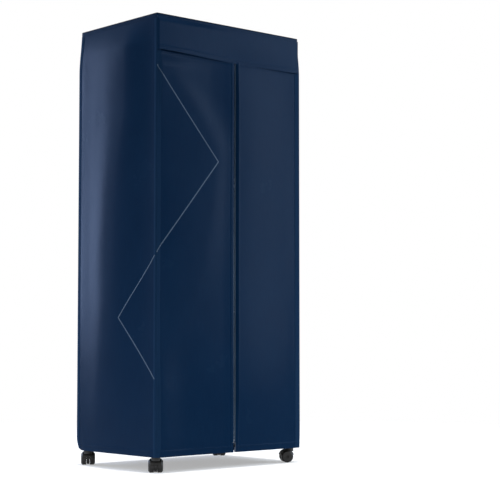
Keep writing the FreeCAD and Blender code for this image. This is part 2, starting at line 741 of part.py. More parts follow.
PULL_Y = f"({SLIDER_FACE} - rest_gap * 1.5 - pull_thickness)"
pull = new_body("zip_pull")
pull_face = sketch(pull, "pull_outline", "XZ_Plane")
rectangle(pull_face, "-pull_width / 2", "pull_width / 2", "-(pull_length - pull_width)", "pull_width / 8")
pull_plate = pad(pull, pull_face, "pull_thickness", "pull_plate", both=True)
soften(
    pull,
    pull_plate,
    "pull_width * 0.12",
    lambda e: abs(e.BoundBox.YLength - value("pull_thickness")) < 0.001,
    "pull_round",
)
pull_eye = sketch(pull, "pull_eye_outline", "XZ_Plane")
eye = "pull_width * 0.27"
rectangle(pull_eye, f"-({eye})", eye, "-pull_width * 0.9", "-pull_width / 8")
pocket(pull, pull_eye, "pull_width", "pull_eye", both=True)
place(pull, "zip_offset", PULL_Y, f"{SLIDER_REST} + slider_length * 0.65")
keep(pull, "zip_pull")

# Heater unit on the base rails. Its pieces are drawn from the underside of the tray.
RAIL_TOP = f"({LEVELS['base']} + base_rail_rise + rail_diameter / 2)"
HEATER_LOW = f"({RAIL_TOP} + rest_gap + clip_wall)"


def heater_piece(body, label):
    place(body, "0", "0", HEATER_LOW)
    return keep(body, label)


def turned(label, corners):
    """Round heater piece from a half section drawn as (radius, height)."""
    body = new_body(label)
    half = sketch(body, f"{label}_half_section", "XZ_Plane")
    polygon(half, corners)
    feature = turn(body, half, "Z_Axis", f"{label}_turned")
    return body, feature


clips = new_body("rail_clips")
clips.AllowCompound = True
clip_side = sketch(clips, "clip_outline", "YZ_Plane")
for sign in (-1, 1):
    axis = f"{sign} * base_rail_offset"
    clear = "(rail_diameter / 2 + rest_gap)"
    polygon(
        clip_side,
        [
            (f"{axis} - {clear} - clip_wall", "0"),
            (f"{axis} - {clear} - clip_wall", "-(clip_wall + clip_reach)"),
            (f"{axis} - {clear}", "-(clip_wall + clip_reach)"),
            (f"{axis} - {clear}", "-clip_wall"),
            (f"{axis} + {clear}", "-clip_wall"),
            (f"{axis} + {clear}", "-(clip_wall + clip_reach)"),
            (f"{axis} + {clear} + clip_wall", "-(clip_wall + clip_reach)"),
            (f"{axis} + {clear} + clip_wall", "0"),
        ],
    )
pad(clips, clip_side, "clip_width", "clip_saddles", both=True)
heater_piece(clips, "rail_clips")

INTAKE = "(housing_radius - intake_inset)"
RING_INNER = f"({INTAKE} + grille_lap + ring_gap)"
RING_OUTER = "(housing_radius - ring_inset)"
SCREW_SPOT = f"(({RING_INNER} + {RING_OUTER}) / 2 * 0.7071)"
tray, tray_turned = turned(
    "heater_base",
    [
        (INTAKE, "0"),
        ("housing_radius - tray_foot_inset", "0"),
        ("housing_radius - 2", "tray_height * 0.55"),
        ("housing_radius", "tray_height"),
        ("housing_radius - housing_wall - 0.5", "tray_height"),
        ("housing_radius - housing_wall - 2", "tray_height * 0.55"),
        ("housing_radius - tray_foot_inset - 1", "tray_wall"),
        (INTAKE, "tray_wall"),
    ],
)
tray_hole = sketch(tray, "tray_hole_outline")
circle(tray_hole, "screw_radius + fit_gap", SCREW_SPOT, SCREW_SPOT)
tray_drill = pocket(tray, tray_hole, "2 * tray_wall", "tray_drill", reverse=True)
ring_of(tray, tray_drill, "4", "tray_drills")
heater_piece(tray, "heater_base")

grille = new_body("intake_grille")
grille_disc = sketch(grille, "grille_outline", offset="tray_wall")
circle(grille_disc, f"{INTAKE} + grille_lap")
pad(grille, grille_disc, "tray_wall * 0.7", "grille_disc")
for number, (low, high) in enumerate([("0.24", "0.58"), ("0.64", "0.95")], start=1):
    slot = sketch(grille, f"grille_slot_outline_{number}")
    half_slot = f"{INTAKE} * 0.045" if number == 1 else f"{INTAKE} * 0.07"
    rectangle(slot, f"{INTAKE} * {low}", f"{INTAKE} * {high}", f"-({half_slot})", half_slot)
    opening = pocket(grille, slot, "4 * tray_wall", f"grille_slot_{number}", reverse=True)
    ring_of(grille, opening, "16", f"grille_slots_{number}")
heater_piece(grille, "intake_grille")

housing, housing_turned = turned(
    "heater_body",
    [
        ("housing_radius", "tray_height"),
        ("housing_radius", "side_height"),
        ("housing_radius - 4", "side_height + 7"),
        ("shoulder_radius + 8", "shoulder_height - 2"),
        ("shoulder_radius", "shoulder_height"),
        ("shoulder_radius - 3", "shoulder_height + 3"),
        ("neck_radius + 3", "neck_height - 4"),
        ("neck_radius", "neck_height"),
        ("neck_opening", "neck_height"),
        ("neck_opening", "neck_height - housing_wall"),
        ("disc_radius + rest_gap", "neck_height - housing_wall"),
        ("disc_radius + rest_gap", "neck_height - housing_wall - 8"),
        ("shoulder_radius - 3 - housing_wall", "shoulder_height - 1"),
        ("shoulder_radius + 7 - housing_wall", "shoulder_height - 2 - housing_wall"),
        ("housing_radius - 5 - housing_wall", "side_height + 6 - housing_wall * 0.5"),
        ("housing_radius - housing_wall", "side_height - 1"),
        ("housing_radius - housing_wall", "tray_height"),
    ],
)
ARCH_LOW = "panel_foot"
ARCH_HIGH = "panel_foot + panel_height"
gate = sketch(housing, "panel_gate_outline", "XZ_Plane")
arch(gate, "panel_width / 2 + rest_gap", f"{ARCH_LOW} - rest_gap", f"{ARCH_HIGH} + rest_gap")
pocket(housing, gate, "2 * housing_radius", "panel_gate", reverse=True)
inlet_gate = sketch(housing, "inlet_gate_outline", "XZ_Plane")
inlet_half = "inlet_width / 2 + rest_gap"
rectangle(
    inlet_gate,
    f"-({inlet_half})",
    inlet_half,
    "inlet_rise - inlet_height / 2 - rest_gap",
    "inlet_rise + inlet_height / 2 + rest_gap",
)
pocket(housing, inlet_gate, "2 * housing_radius", "inlet_gate")
heater_piece(housing, "heater_body")

disc = new_body("heating_disc")
disc_low = "neck_height - housing_wall - rest_gap - disc_thickness"
disc_face = sketch(disc, "disc_outline", offset=disc_low)
circle(disc_face, "disc_radius")
pad(disc, disc_face, "disc_thickness", "disc_block")
slots = sketch(disc, "disc_slot_outline", offset=disc_low)
for column in range(-6, 7):
    middle = f"{column} * disc_radius / 8"
    reach = f"disc_radius * {round(0.86 * (1 - (column / 8) ** 2) ** 0.5, 3)}"
    rectangle(slots, f"{middle} - disc_slot / 2", f"{middle} + disc_slot / 2", f"-({reach})", reach)
pocket(disc, slots, "2 * disc_thickness", "disc_slots", reverse=True)
heater_piece(disc, "heating_disc")

CAGE_LOW = "neck_height + fit_gap"
cage, cage_foot = turned(
    "outlet_cage",
    [
        ("cage_foot_radius - 2 * cage_bar", CAGE_LOW),
        ("cage_foot_radius", CAGE_LOW),
        ("cage_foot_radius", f"{CAGE_LOW} + cage_bar"),
        ("cage_foot_radius - 2 * cage_bar", f"{CAGE_LOW} + cage_bar"),
    ],
)
rib = sketch(cage, "cage_rib_outline", "XZ_Plane")
polygon(
    rib,
    [
        ("cage_foot_radius", CAGE_LOW),
        ("cage_waist_radius + 2", f"{CAGE_LOW} + cage_height * 0.3"),
        ("cage_waist_radius", f"{CAGE_LOW} + cage_height * 0.62"),
        ("cage_head_radius", f"{CAGE_LOW} + cage_height"),
        ("cage_head_radius - cage_bar", f"{CAGE_LOW} + cage_height"),
        ("cage_waist_radius - cage_bar", f"{CAGE_LOW} + cage_height * 0.62"),
        ("cage_waist_radius + 2 - cage_bar", f"{CAGE_LOW} + cage_height * 0.3"),
        ("cage_foot_radius - cage_bar", CAGE_LOW),
    ],
)
upright = pad(cage, rib, "cage_bar", "cage_rib", both=True)
ring_of(cage, upright, "cage_ribs", "cage_upright_bars")
for number, (share, rim) in enumerate(
    [
        (0.16, "cage_foot_radius * 0.5 + (cage_waist_radius + 2) * 0.5"),
        (0.31, "cage_waist_radius + 2"),
        (0.46, "cage_waist_radius + 1"),
        (0.61, "cage_waist_radius"),
        (0.76, "cage_waist_radius * 0.6 + cage_head_radius * 0.4"),
        (0.955, "cage_head_radius"),
    ],
    start=1,
):
    hoop = sketch(cage, f"cage_hoop_outline_{number}", "XZ_Plane")
    low = f"{CAGE_LOW} + cage_height * {share}"
    tall = "cage_bar * 0.5" if share < 0.9 else "cage_height * 0.045"
    rectangle(hoop, f"{rim} - cage_bar * 0.9", f"{rim} - cage_bar * 0.1", low, f"{low} + {tall}")
    turn(cage, hoop, "Z_Axis", f"cage_hoop_{number}")
heater_piece(cage, "outlet_cage")

CAP_LOW = f"({CAGE_LOW} + cage_height + fit_gap)"
cap, cap_turned = turned(
    "outlet_cap",
    [
        ("0", CAP_LOW),
        ("cap_radius - 4", CAP_LOW),
        ("cap_radius", f"{CAP_LOW} + cap_brim * 0.4"),
        ("cap_radius", f"{CAP_LOW} + cap_brim * 0.6"),
        ("cap_dome_radius", f"{CAP_LOW} + cap_brim + 1"),
        ("cap_dome_radius * 0.86", f"{CAP_LOW} + cap_dome_height * 0.62"),
        ("cap_dome_radius * 0.55", f"{CAP_LOW} + cap_dome_height * 0.92"),
        ("0", f"{CAP_LOW} + cap_dome_height"),
    ],
)
heater_piece(cap, "outlet_cap")

MOTOR_LOW = "(bracket_rise + bracket_plate)"
mount = new_body("motor_bracket")
seat = sketch(mount, "motor_seat_outline", offset="bracket_rise")
circle(seat, "motor_radius + 4")
pad(mount, seat, "bracket_plate", "motor_seat")
leg = sketch(mount, "motor_leg_outline", "XZ_Plane")
polygon(
    leg,
    [
        ("motor_radius", "bracket_rise"),
        (RING_INNER, "tray_wall"),
        (RING_OUTER, "tray_wall"),
        (RING_OUTER, "tray_wall + bracket_plate"),
        (f"{RING_INNER} + bracket_plate", "tray_wall + bracket_plate"),
        ("motor_radius + bracket_plate", "bracket_rise + bracket_plate"),
        ("motor_radius", "bracket_rise + bracket_plate"),
    ],
)
leg_bar = pad(mount, leg, "4 * bracket_plate", "motor_leg", both=True)
ring_of(mount, leg_bar, "3", "motor_legs")
foot = sketch(mount, "motor_foot_outline", offset="tray_wall")
circle(foot, RING_OUTER)
circle(foot, RING_INNER)
pad(mount, foot, "bracket_plate", "motor_foot")
tap = sketch(mount, "motor_tap_outline")
circle(tap, "screw_radius + fit_gap", SCREW_SPOT, SCREW_SPOT)
tap_hole = pocket(mount, tap, "4 * bracket_plate", "motor_tap", reverse=True)
ring_of(mount, tap_hole, "4", "motor_taps")
heater_piece(mount, "motor_bracket")

motor = new_body("fan_motor")
can = sketch(motor, "motor_outline", offset=MOTOR_LOW)
circle(can, "motor_radius")
motor_can = pad(motor, can, "motor_height", "motor_can")
motor_round = soften(motor, motor_can, "bracket_plate", lambda e: e.Length > 6 * value("motor_radius"), "motor_round")
bearing = sketch(motor, "motor_bore_outline", offset=f"{MOTOR_LOW} + motor_height / 3")
circle(bearing, "shaft_radius + run_gap")
pocket(motor, bearing, "motor_height", "motor_bore", reverse=True)
heater_piece(motor, "fan_motor")

SHAFT_LOW = f"({MOTOR_LOW} + motor_height / 3 + rest_gap)"
HUB_LOW = f"({MOTOR_LOW} + motor_height + 2)"
shaft = new_body("motor_shaft")
shaft_end = sketch(shaft, "shaft_outline", offset=SHAFT_LOW)
circle(shaft_end, "shaft_radius")
pad(shaft, shaft_end, f"{HUB_LOW} + hub_height - {SHAFT_LOW}", "shaft_rod")
heater_piece(shaft, "motor_shaft")

impeller = new_body("fan_impeller")
hub_face = sketch(impeller, "hub_outline", offset=HUB_LOW)
circle(hub_face, "hub_radius")
pad(impeller, hub_face, "hub_height", "hub_drum")
blade = sketch(impeller, "blade_outline", "YZ_Plane", "hub_radius * 0.9")
polygon(
    blade,
    [
        ("-hub_height * 0.5", f"{HUB_LOW} + 1"),
        ("-hub_height * 0.5 + blade_thickness", f"{HUB_LOW} + 1"),
        ("hub_height * 0.5", f"{HUB_LOW} + hub_height - 1"),
        ("hub_height * 0.5 - blade_thickness", f"{HUB_LOW} + hub_height - 1"),
    ],
)
vane = pad(impeller, blade, "blade_radius - hub_radius * 0.9", "blade_vane")
ring_of(impeller, vane, "blade_count", "blade_vanes")
hub_bore = sketch(impeller, "hub_bore_outline", offset=HUB_LOW)
circle(hub_bore, "shaft_radius + fit_gap / 3")
pocket(impeller, hub_bore, "hub_height", "hub_bore", reverse=True)
heater_piece(impeller, "fan_impeller")

panel = new_body("control_panel")
PANEL_FACE = "(housing_radius + panel_proud)"
panel_arch = sketch(panel, "panel_outline", "XZ_Plane", PANEL_FACE)
arch(panel_arch, "panel_width / 2", ARCH_LOW, ARCH_HIGH)
pad(panel, panel_arch, "panel_depth", "panel_block", reverse=True)
hollow = sketch(panel, "panel_hollow_outline", "XZ_Plane", f"{PANEL_FACE} - panel_wall")
rectangle(
    hollow,
    "-board_width / 2 + 2",
    "board_width / 2 - 2",
    "panel_foot + 4",
    "panel_foot + board_height - 2",
)
pocket(panel, hollow, "panel_depth", "panel_hollow")
step = sketch(panel, "panel_step_outline", "XZ_Plane", f"{PANEL_FACE} - panel_wall - 6")
board_half = "board_width / 2 + fit_gap"
rectangle(
    step,
    f"-({board_half})",
    board_half,
    "panel_foot + 2 - fit_gap",
    "panel_foot + 2 + board_height + fit_gap",
)
pocket(panel, step, "panel_depth", "panel_step")
glass_seat = sketch(panel, "window_seat_outline", "XZ_Plane", f"{PANEL_FACE} - window_thickness")
glass_half = "window_width / 2 + fit_gap"
rectangle(
    glass_seat,
    f"-({glass_half})",
    glass_half,
    "panel_foot + window_rise - fit_gap",
    "panel_foot + window_rise + window_height + fit_gap",
)
pocket(panel, glass_seat, "panel_depth", "window_seat", reverse=True)
BUTTONS = {"power": -1, "timer": 0, "mode": 1}
holes = sketch(panel, "button_hole_outline", "XZ_Plane", PANEL_FACE)
for number in BUTTONS.values():
    middle = f"{number} * button_pitch" if number else "0"
    circle(holes, "button_radius + rest_gap", middle, "panel_foot + button_rise")
pocket(panel, holes, "panel_wall + 1", "button_holes")
heater_piece(panel, "control_panel")

glass = box(
    "display_window",
    "window_width",
    "window_thickness",
    "window_height",
    "-window_width / 2",
    f"-{PANEL_FACE}",
    f"{HEATER_LOW} + panel_foot + window_rise",
)
keep(glass, "display_window")

board = box(
    "control_board",
    "board_width",
    "board_thickness",
    "board_height",
    "-board_width / 2",
    f"-{PANEL_FACE} + panel_wall + 6",
    f"{HEATER_LOW} + panel_foot + 2",
)
keep(board, "control_board")

for button_name, number in BUTTONS.items():
    button = new_body(f"{button_name}_button")
    key = sketch(button, f"{button_name}_key_outline", "XZ_Plane", f"{PANEL_FACE} + button_proud")
    middle = f"{number} * button_pitch" if number else "0"
    circle(key, "button_radius", middle, "panel_foot + button_rise")
    pad(button, key, "button_proud + panel_wall + rest_gap + button_flange", f"{button_name}_key", reverse=True)
    flange = sketch(button, f"{button_name}_flange_outline", "XZ_Plane", f"{PANEL_FACE} - panel_wall - rest_gap")
    circle(flange, "button_radius + 1.5", middle, "panel_foot + button_rise")
    pad(button, flange, "button_flange", f"{button_name}_flange", reverse=True)
    heater_piece(button, f"{button_name}_button")

inlet = new_body("power_inlet")
INLET_FACE = "(-(housing_radius + 1))"
shell = sketch(inlet, "inlet_outline", "XZ_Plane", INLET_FACE)
low = "inlet_rise - inlet_height / 2"
high = "inlet_rise + inlet_height / 2"
rectangle(shell, "-inlet_width / 2", "inlet_width / 2", low, high)
pad(inlet, shell, "inlet_depth", "inlet_block")
well = sketch(inlet, "inlet_well_outline", "XZ_Plane", INLET_FACE)
rectangle(well, "-inlet_width / 2 + 3", "inlet_width / 2 - 3", f"{low} + 3", f"{high} - 3")
pocket(inlet, well, "inlet_depth - 4", "inlet_well", reverse=True)
blades = sketch(inlet, "inlet_pin_outline", "XZ_Plane", f"{INLET_FACE} + inlet_depth - 3.5")
for column, rise in ((-1, "-2"), (0, "2"), (1, "-2")):
    middle = f"{column} * 7"
    rectangle(blades, f"{middle} - 1", f"{middle} + 1", f"inlet_rise + ({rise}) - 2", f"inlet_rise + ({rise}) + 2")
pad(inlet, blades, "inlet_depth * 0.6", "inlet_pins", reverse=True)
heater_piece(inlet, "power_inlet")

screws = new_body("bracket_screws")
screws.AllowCompound = True
head = sketch(screws, "screw_head_outline", offset="-(screw_head)")
shank = sketch(screws, "screw_shank_outline")
for along in (-1, 1):
    for across in (-1, 1):
        spot_x = f"{along} * {SCREW_SPOT}"
        spot_y = f"{across} * {SCREW_SPOT}"
        circle(head, "screw_head_radius", spot_x, spot_y)
        circle(shank, "screw_radius", spot_x, spot_y)
pad(screws, head, "screw_head", "screw_heads")
pad(screws, shank, "tray_wall + bracket_plate", "screw_shanks")
heater_piece(screws, "bracket_screws")

doc.recompute()
faults = []
for thing in doc.Objects:
    if "Invalid" in thing.State or "Error" in thing.State:
        faults.append(f"{thing.Name} {thing.State}")
for thing in pieces:
    if thing.Shape.isNull() or not thing.Shape.isValid() or not thing.Shape.Solids:
        faults.append(f"{thing.Label} has no valid shape")
if faults:
    raise RuntimeError("; ".join(faults))

os.makedirs("parts", exist_ok=True)
for thing in pieces:
    thing.Shape.exportStep(f"parts/{thing.Label}.step")
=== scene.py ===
import json
import math

import bpy
import numpy as np
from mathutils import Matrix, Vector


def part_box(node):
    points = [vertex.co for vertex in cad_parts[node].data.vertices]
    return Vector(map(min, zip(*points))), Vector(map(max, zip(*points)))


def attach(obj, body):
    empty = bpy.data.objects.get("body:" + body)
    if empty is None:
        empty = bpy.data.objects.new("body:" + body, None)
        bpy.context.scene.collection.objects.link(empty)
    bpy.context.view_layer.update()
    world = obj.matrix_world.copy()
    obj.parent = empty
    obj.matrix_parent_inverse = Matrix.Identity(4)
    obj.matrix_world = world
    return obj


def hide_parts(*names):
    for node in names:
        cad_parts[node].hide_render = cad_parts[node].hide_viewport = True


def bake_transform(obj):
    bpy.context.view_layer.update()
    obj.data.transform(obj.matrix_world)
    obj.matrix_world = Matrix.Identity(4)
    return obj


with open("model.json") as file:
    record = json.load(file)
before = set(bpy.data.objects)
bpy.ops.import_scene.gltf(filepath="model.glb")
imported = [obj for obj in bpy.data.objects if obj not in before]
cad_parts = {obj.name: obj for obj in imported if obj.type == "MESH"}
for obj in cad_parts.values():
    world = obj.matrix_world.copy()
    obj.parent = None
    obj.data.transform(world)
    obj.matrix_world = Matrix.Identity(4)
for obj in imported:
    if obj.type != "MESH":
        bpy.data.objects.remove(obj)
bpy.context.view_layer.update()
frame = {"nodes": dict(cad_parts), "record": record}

# Materials

WAVE_LENGTH = 0.31416  # one wave of the wave texture at scale 1, in metres
STREAK_SHARE = 0.5  # slub streaks against slow tone changes in the colour of cloth
WEAVE_SHARE = 0.22  # what the weave adds to them


def node(tree, kind, inputs=None, **settings):
    """A shader node, with its settings made and its inputs linked or set."""
    made = tree.nodes.new(kind)
    for key, setting in settings.items():
        setattr(made, key, setting)
    for key, feed in (inputs or {}).items():
        if isinstance(feed, bpy.types.NodeSocket):
            tree.links.new(feed, made.inputs[key])
        else:
            made.inputs[key].default_value = feed
    return made


def surface(name, **sockets):
    """A new material with some sockets of its shader set. Underscores stand for spaces in their names."""
    made = bpy.data.materials.new(name)
    made.use_nodes = True
    shader = made.node_tree.nodes["Principled BSDF"]
    for key, setting in sockets.items():
        shader.inputs[key.replace("_", " ")].default_value = setting
    return made, made.node_tree, shader


def mapped(tree, source, scale=(1, 1, 1)):
    place = node(tree, "ShaderNodeTexCoord")
    feeds = {"Vector": place.outputs[source], "Scale": scale}
    return node(tree, "ShaderNodeMapping", feeds).outputs["Vector"]


def noise(tree, where, scale, detail=3.0, rough=0.55):
    feeds = {"Vector": where, "Scale": scale, "Detail": detail, "Roughness": rough}
    return node(tree, "ShaderNodeTexNoise", feeds).outputs["Fac"]


def ramp(tree, fac, stops):
    """A colour that goes from the first of two stops to the second."""
    made = node(tree, "ShaderNodeValToRGB", {"Fac": fac})
    for element, (spot, shade) in zip(made.color_ramp.elements, stops):
        element.position = spot
        element.color = tuple(shade) + (1,)
    return made.outputs["Color"]


def spread(tree, fac, low, high):
    made = node(tree, "ShaderNodeMapRange", {"Value": fac, "To Min": low, "To Max": high})
    return made.outputs["Result"]


def math_node(tree, operation, first, second):
    return node(tree, "ShaderNodeMath", {0: first, 1: second}, operation=operation).outputs[0]


def bumped(tree, shader, height, strength, distance, after=None):
    """Bump on a shader, on top of an earlier bump if after is given."""
    feeds = {"Height": height, "Strength": strength, "Distance": distance}
    if after is not None:
        feeds["Normal"] = after
    made = node(tree, "ShaderNodeBump", feeds)
    tree.links.new(made.outputs["Normal"], shader.inputs["Normal"])
    return made.outputs["Normal"]


def woven(name, deep, pale, pitch, rough, specular, gloss=(0.5, 0.66, 1.0)):
    """Woven cloth: warp and weft ridges, slub streaks along the warp, and slow tone changes."""
    made, tree, shader = surface(name, Specular_IOR_Level=specular)
    shader.inputs["Specular Tint"].default_value = gloss + (1,)
    ridges = {"Vector": mapped(tree, "UV"), "Scale": WAVE_LENGTH / pitch, "Distortion": 0.6, "Detail": 1.0}
    warp = node(tree, "ShaderNodeTexWave", ridges, bands_direction="X").outputs["Fac"]
    weft = node(tree, "ShaderNodeTexWave", ridges, bands_direction="Y").outputs["Fac"]
    weave = math_node(tree, "MULTIPLY", warp, weft)
    slub = noise(tree, mapped(tree, "UV", (1, 0.06, 1)), 260.0, 2.0)
    tone = noise(tree, mapped(tree, "Object"), 5.0, 4.0, 0.6)
    streaks = math_node(tree, "MULTIPLY", slub, STREAK_SHARE)
    clouds = math_node(tree, "MULTIPLY", tone, 1 - STREAK_SHARE)
    mixed = math_node(tree, "ADD", streaks, clouds)
    mixed = math_node(tree, "ADD", math_node(tree, "MULTIPLY", weave, WEAVE_SHARE), mixed)
    colour = ramp(tree, mixed, [(0.30, deep), (0.78, pale)])
    tree.links.new(colour, shader.inputs["Base Color"])
    tree.links.new(spread(tree, tone, rough - 0.05, rough + 0.06), shader.inputs["Roughness"])
    uneven = noise(tree, mapped(tree, "Object", (1, 1, 0.35)), 14.0, 3.0)
    bumped(tree, shader, weave, 0.18, 0.0002, bumped(tree, shader, uneven, 0.12, 0.004))
    return made


def moulded(name, deep, pale, rough, grain=900.0, specular=0.5, coat=0.0):
    """Moulded plastic: fine spark-eroded grain, soft mottling and handling marks."""
    made, tree, shader = surface(name, Specular_IOR_Level=specular, Coat_Weight=coat, Coat_Roughness=0.2)
    spot = mapped(tree, "Object")
    mottle = noise(tree, spot, 22.0, 4.0)
    scuff = noise(tree, mapped(tree, "Object", (1, 1, 6)), 60.0, 5.0, 0.7)
    tree.links.new(ramp(tree, mottle, [(0.3, deep), (0.75, pale)]), shader.inputs["Base Color"])
    tree.links.new(spread(tree, scuff, rough - 0.08, rough + 0.1), shader.inputs["Roughness"])
    bumped(tree, shader, noise(tree, spot, grain, 2.0), 0.12, 0.0003)
    return made


def metal(name, deep, pale, rough):
    """Bare or plated metal with fine drawing lines and a faint haze."""
    made, tree, shader = surface(name, Metallic=1.0)
    lines = noise(tree, mapped(tree, "Object", (1, 1, 0.03)), 700.0, 3.0)
    haze = noise(tree, mapped(tree, "Object"), 9.0, 4.0)
    tree.links.new(ramp(tree, haze, [(0.3, deep), (0.7, pale)]), shader.inputs["Base Color"])
    tree.links.new(spread(tree, haze, rough * 0.7, rough * 1.4), shader.inputs["Roughness"])
    bumped(tree, shader, lines, 0.05, 0.0002)
    return made


CLOTH = woven("cover_cloth_navy", (0.0008, 0.0128, 0.0410), (0.0020, 0.0180, 0.0520), 0.0007, 0.25, 0.036)
# Lighter navy for the corner bindings: painted highlight along the rounded upright corners of the cover
BINDING_PAINTED_HIGHLIGHT = woven("binding_navy_painted_highlight", (0.0062, 0.0240, 0.0610), (0.0105, 0.0315, 0.0750), 0.0011, 0.6, 0.015)
# Near-black cord for the seam round the lid's top edge; its dark tone is painted shade along the rounded
# edge
PIPING_PAINTED_SHADE = woven("piping_dark_painted_shade", (0.0015, 0.005, 0.014), (0.003, 0.008, 0.020), 0.0011, 0.6, 0.03)
THREAD = woven("thread_navy", (0.004, 0.017, 0.045), (0.008, 0.024, 0.058), 0.0005, 0.6, 0.06)
STRIPE = woven("printed_stripe", (0.070, 0.105, 0.160), (0.105, 0.150, 0.210), 0.0007, 0.5, 0.06)
# Zip tape and coil: a grey-blue of their own, made lighter as painted light against the shade in the recess
# between the flaps
TAPE_PAINTED_LIGHT = woven("zip_tape_grey_painted_light", (0.058, 0.104, 0.170), (0.088, 0.145, 0.222), 0.0006, 0.55, 0.2, (1, 1, 1))
COIL_PAINTED_LIGHT = moulded("zip_coil_painted_light", (0.070, 0.118, 0.182), (0.110, 0.168, 0.245), 0.4, 2500.0, 0.3)
AXLE = metal("axle_black_oxide", (0.014, 0.014, 0.015), (0.030, 0.029, 0.028), 0.42)

LOOKS = {
    "cover_cloth": CLOTH,
    "zip_tape": TAPE_PAINTED_LIGHT,
    "zip_metal": metal("zip_metal", (0.022, 0.030, 0.044), (0.044, 0.054, 0.072), 0.40),
    "tube_chrome": metal("tube_chrome", (0.28, 0.275, 0.28), (0.42, 0.415, 0.42), 0.14),
    "bracket_grey": moulded("bracket_grey", (0.165, 0.200, 0.212), (0.205, 0.240, 0.252), 0.42, 700.0),
    "caster_black": moulded("caster_black", (0.006, 0.006, 0.006), (0.014, 0.013, 0.012), 0.46, 900.0, 0.35),
    "wheel_black": moulded("wheel_black", (0.005, 0.005, 0.005), (0.016, 0.014, 0.013), 0.5, 600.0, 0.35),
    "bracket_steel": metal("bracket_steel", (0.42, 0.42, 0.42), (0.55, 0.55, 0.55), 0.3),
    "heater_white": moulded("heater_white", (0.58, 0.57, 0.57), (0.66, 0.65, 0.65), 0.32, 900.0, 0.5, 0.15),
    "heater_black": moulded("heater_black", (0.006, 0.006, 0.007), (0.016, 0.016, 0.017), 0.4, 800.0, 0.45),
    "heating_ceramic": moulded("heating_ceramic", (0.24, 0.20, 0.15), (0.36, 0.31, 0.25), 0.6, 500.0),
    "motor_metal": metal("motor_metal", (0.09, 0.09, 0.10), (0.16, 0.16, 0.17), 0.35),
    "display_dark": moulded(
        "display_dark", (0.003, 0.003, 0.004), (0.006, 0.006, 0.008), 0.12, 200.0, 0.5, 0.6),
    "board_green": moulded("board_green", (0.006, 0.05, 0.02), (0.014, 0.09, 0.035), 0.4, 900.0),
    "button_grey": moulded("button_grey", (0.16, 0.16, 0.165), (0.24, 0.24, 0.245), 0.4, 900.0),
}
for part in frame["record"]["subparts"]:
    shape = frame["nodes"][part["node"]]
    look = AXLE if part["node"].startswith("caster_axle") else LOOKS[part["material_slot"]]
    for place in shape.material_slots:
        place.material = look

# Mesh code

FORWARD = (0.0, -1.0, 0.0)
BACKWARD = (0.0, 1.0, 0.0)
LEFTWARD = (-1.0, 0.0, 0.0)
UPWARD = (0.0, 0.0, 1.0)
CLOTH_THICK = 0.0016
STITCH_PITCH = 0.0062
STITCH_LONG = 0.0040
STITCH_THICK = 0.00075
STITCH_LIFT = 0.0003
STITCH_AIM = 0.001  # a stitch points to the place this far ahead
BEAD_SIDES = 6
# Place along a stitch, girth and rise, as shares of its length and thickness
STITCH_RINGS = (
    (-0.5, 0.25, -0.4), (-0.32, 0.85, 0.15), (0, 1.0, 0.3), (0.32, 0.85, 0.15), (0.5, 0.25, -0.4))
WELT_SIDES = 10
TINY = 1e-12  # keeps a division away from zero


def ease(low, high, spot):
    """0 up to low, 1 from high on, and a smooth rise between."""
    share = np.clip((spot - low) / (high - low), 0, 1)
    return share * share * (3 - 2 * share)


def hill(spot, middle, half):
    """A smooth bump of height 1 round middle."""
    return np.exp(-(((spot - middle) / half) ** 2))


def unit(vectors):
    """The same directions, each of length 1."""
    return vectors / np.linalg.norm(vectors, axis=1, keepdims=True)


def distances(path):
    """How far along a path each of its points is."""
    return np.concatenate([[0], np.cumsum(np.linalg.norm(np.diff(path, axis=0), axis=1))])


def sampled(spots, far, values):
    """Rows of values at given distances, where far tells the distance of each row."""
    return np.stack([np.interp(spots, far, values[:, axis]) for axis in range(values.shape[1])], 1)


def facing(direction, path):
    """One direction for every point of a path."""
    return np.tile(direction, (len(path), 1))


def tube_faces(rings, sides, closed=False):
    """Faces round a tube that is closed into a ring or has flat ends."""
    faces = []
    for ring in range(rings if closed else rings - 1):
        here = ring * sides
        beyond = (ring + 1) % rings * sides
        for side in range(sides):
            following = (side + 1) % sides
            faces.append((here + side, here + following, beyond + following, beyond + side))
    if not closed:
        faces.append(tuple(range(sides))[::-1])
        faces.append(tuple(range((rings - 1) * sides, rings * sides)))
    return faces


def repeated(faces, points, copies):
    """The same faces on several copies of a shape with that many points."""
    return [tuple(corner + points * copy for corner in face) for copy in range(copies) for face in faces]


def mesh_piece(name, points, faces, look, uv=None, sharp=None):
    """A smooth mesh. Edges between two sharp points are sharp."""
    mesh = bpy.data.meshes.new(name)
    mesh.from_pydata(points.tolist(), [], faces)
    mesh.polygons.foreach_set("use_smooth", np.ones(len(mesh.polygons), bool))
    if uv is not None:
        layer = mesh.uv_layers.new(name="cloth")
        corner = np.empty(len(mesh.loops), int)
        mesh.loops.foreach_get("vertex_index", corner)
        layer.data.foreach_set("uv", np.ascontiguousarray(uv[corner], dtype=np.float32).ravel())
    if sharp is not None:
        ends = np.empty(len(mesh.edges) * 2, int)
        mesh.edges.foreach_get("vertices", ends)
        ends = ends.reshape(-1, 2)
        mesh.edges.foreach_set("use_edge_sharp", sharp[ends[:, 0]] & sharp[ends[:, 1]])
    mesh.materials.append(look)
    mesh.update()
    made = bpy.data.objects.new(name, mesh)
    bpy.context.scene.collection.objects.link(made)
    return made


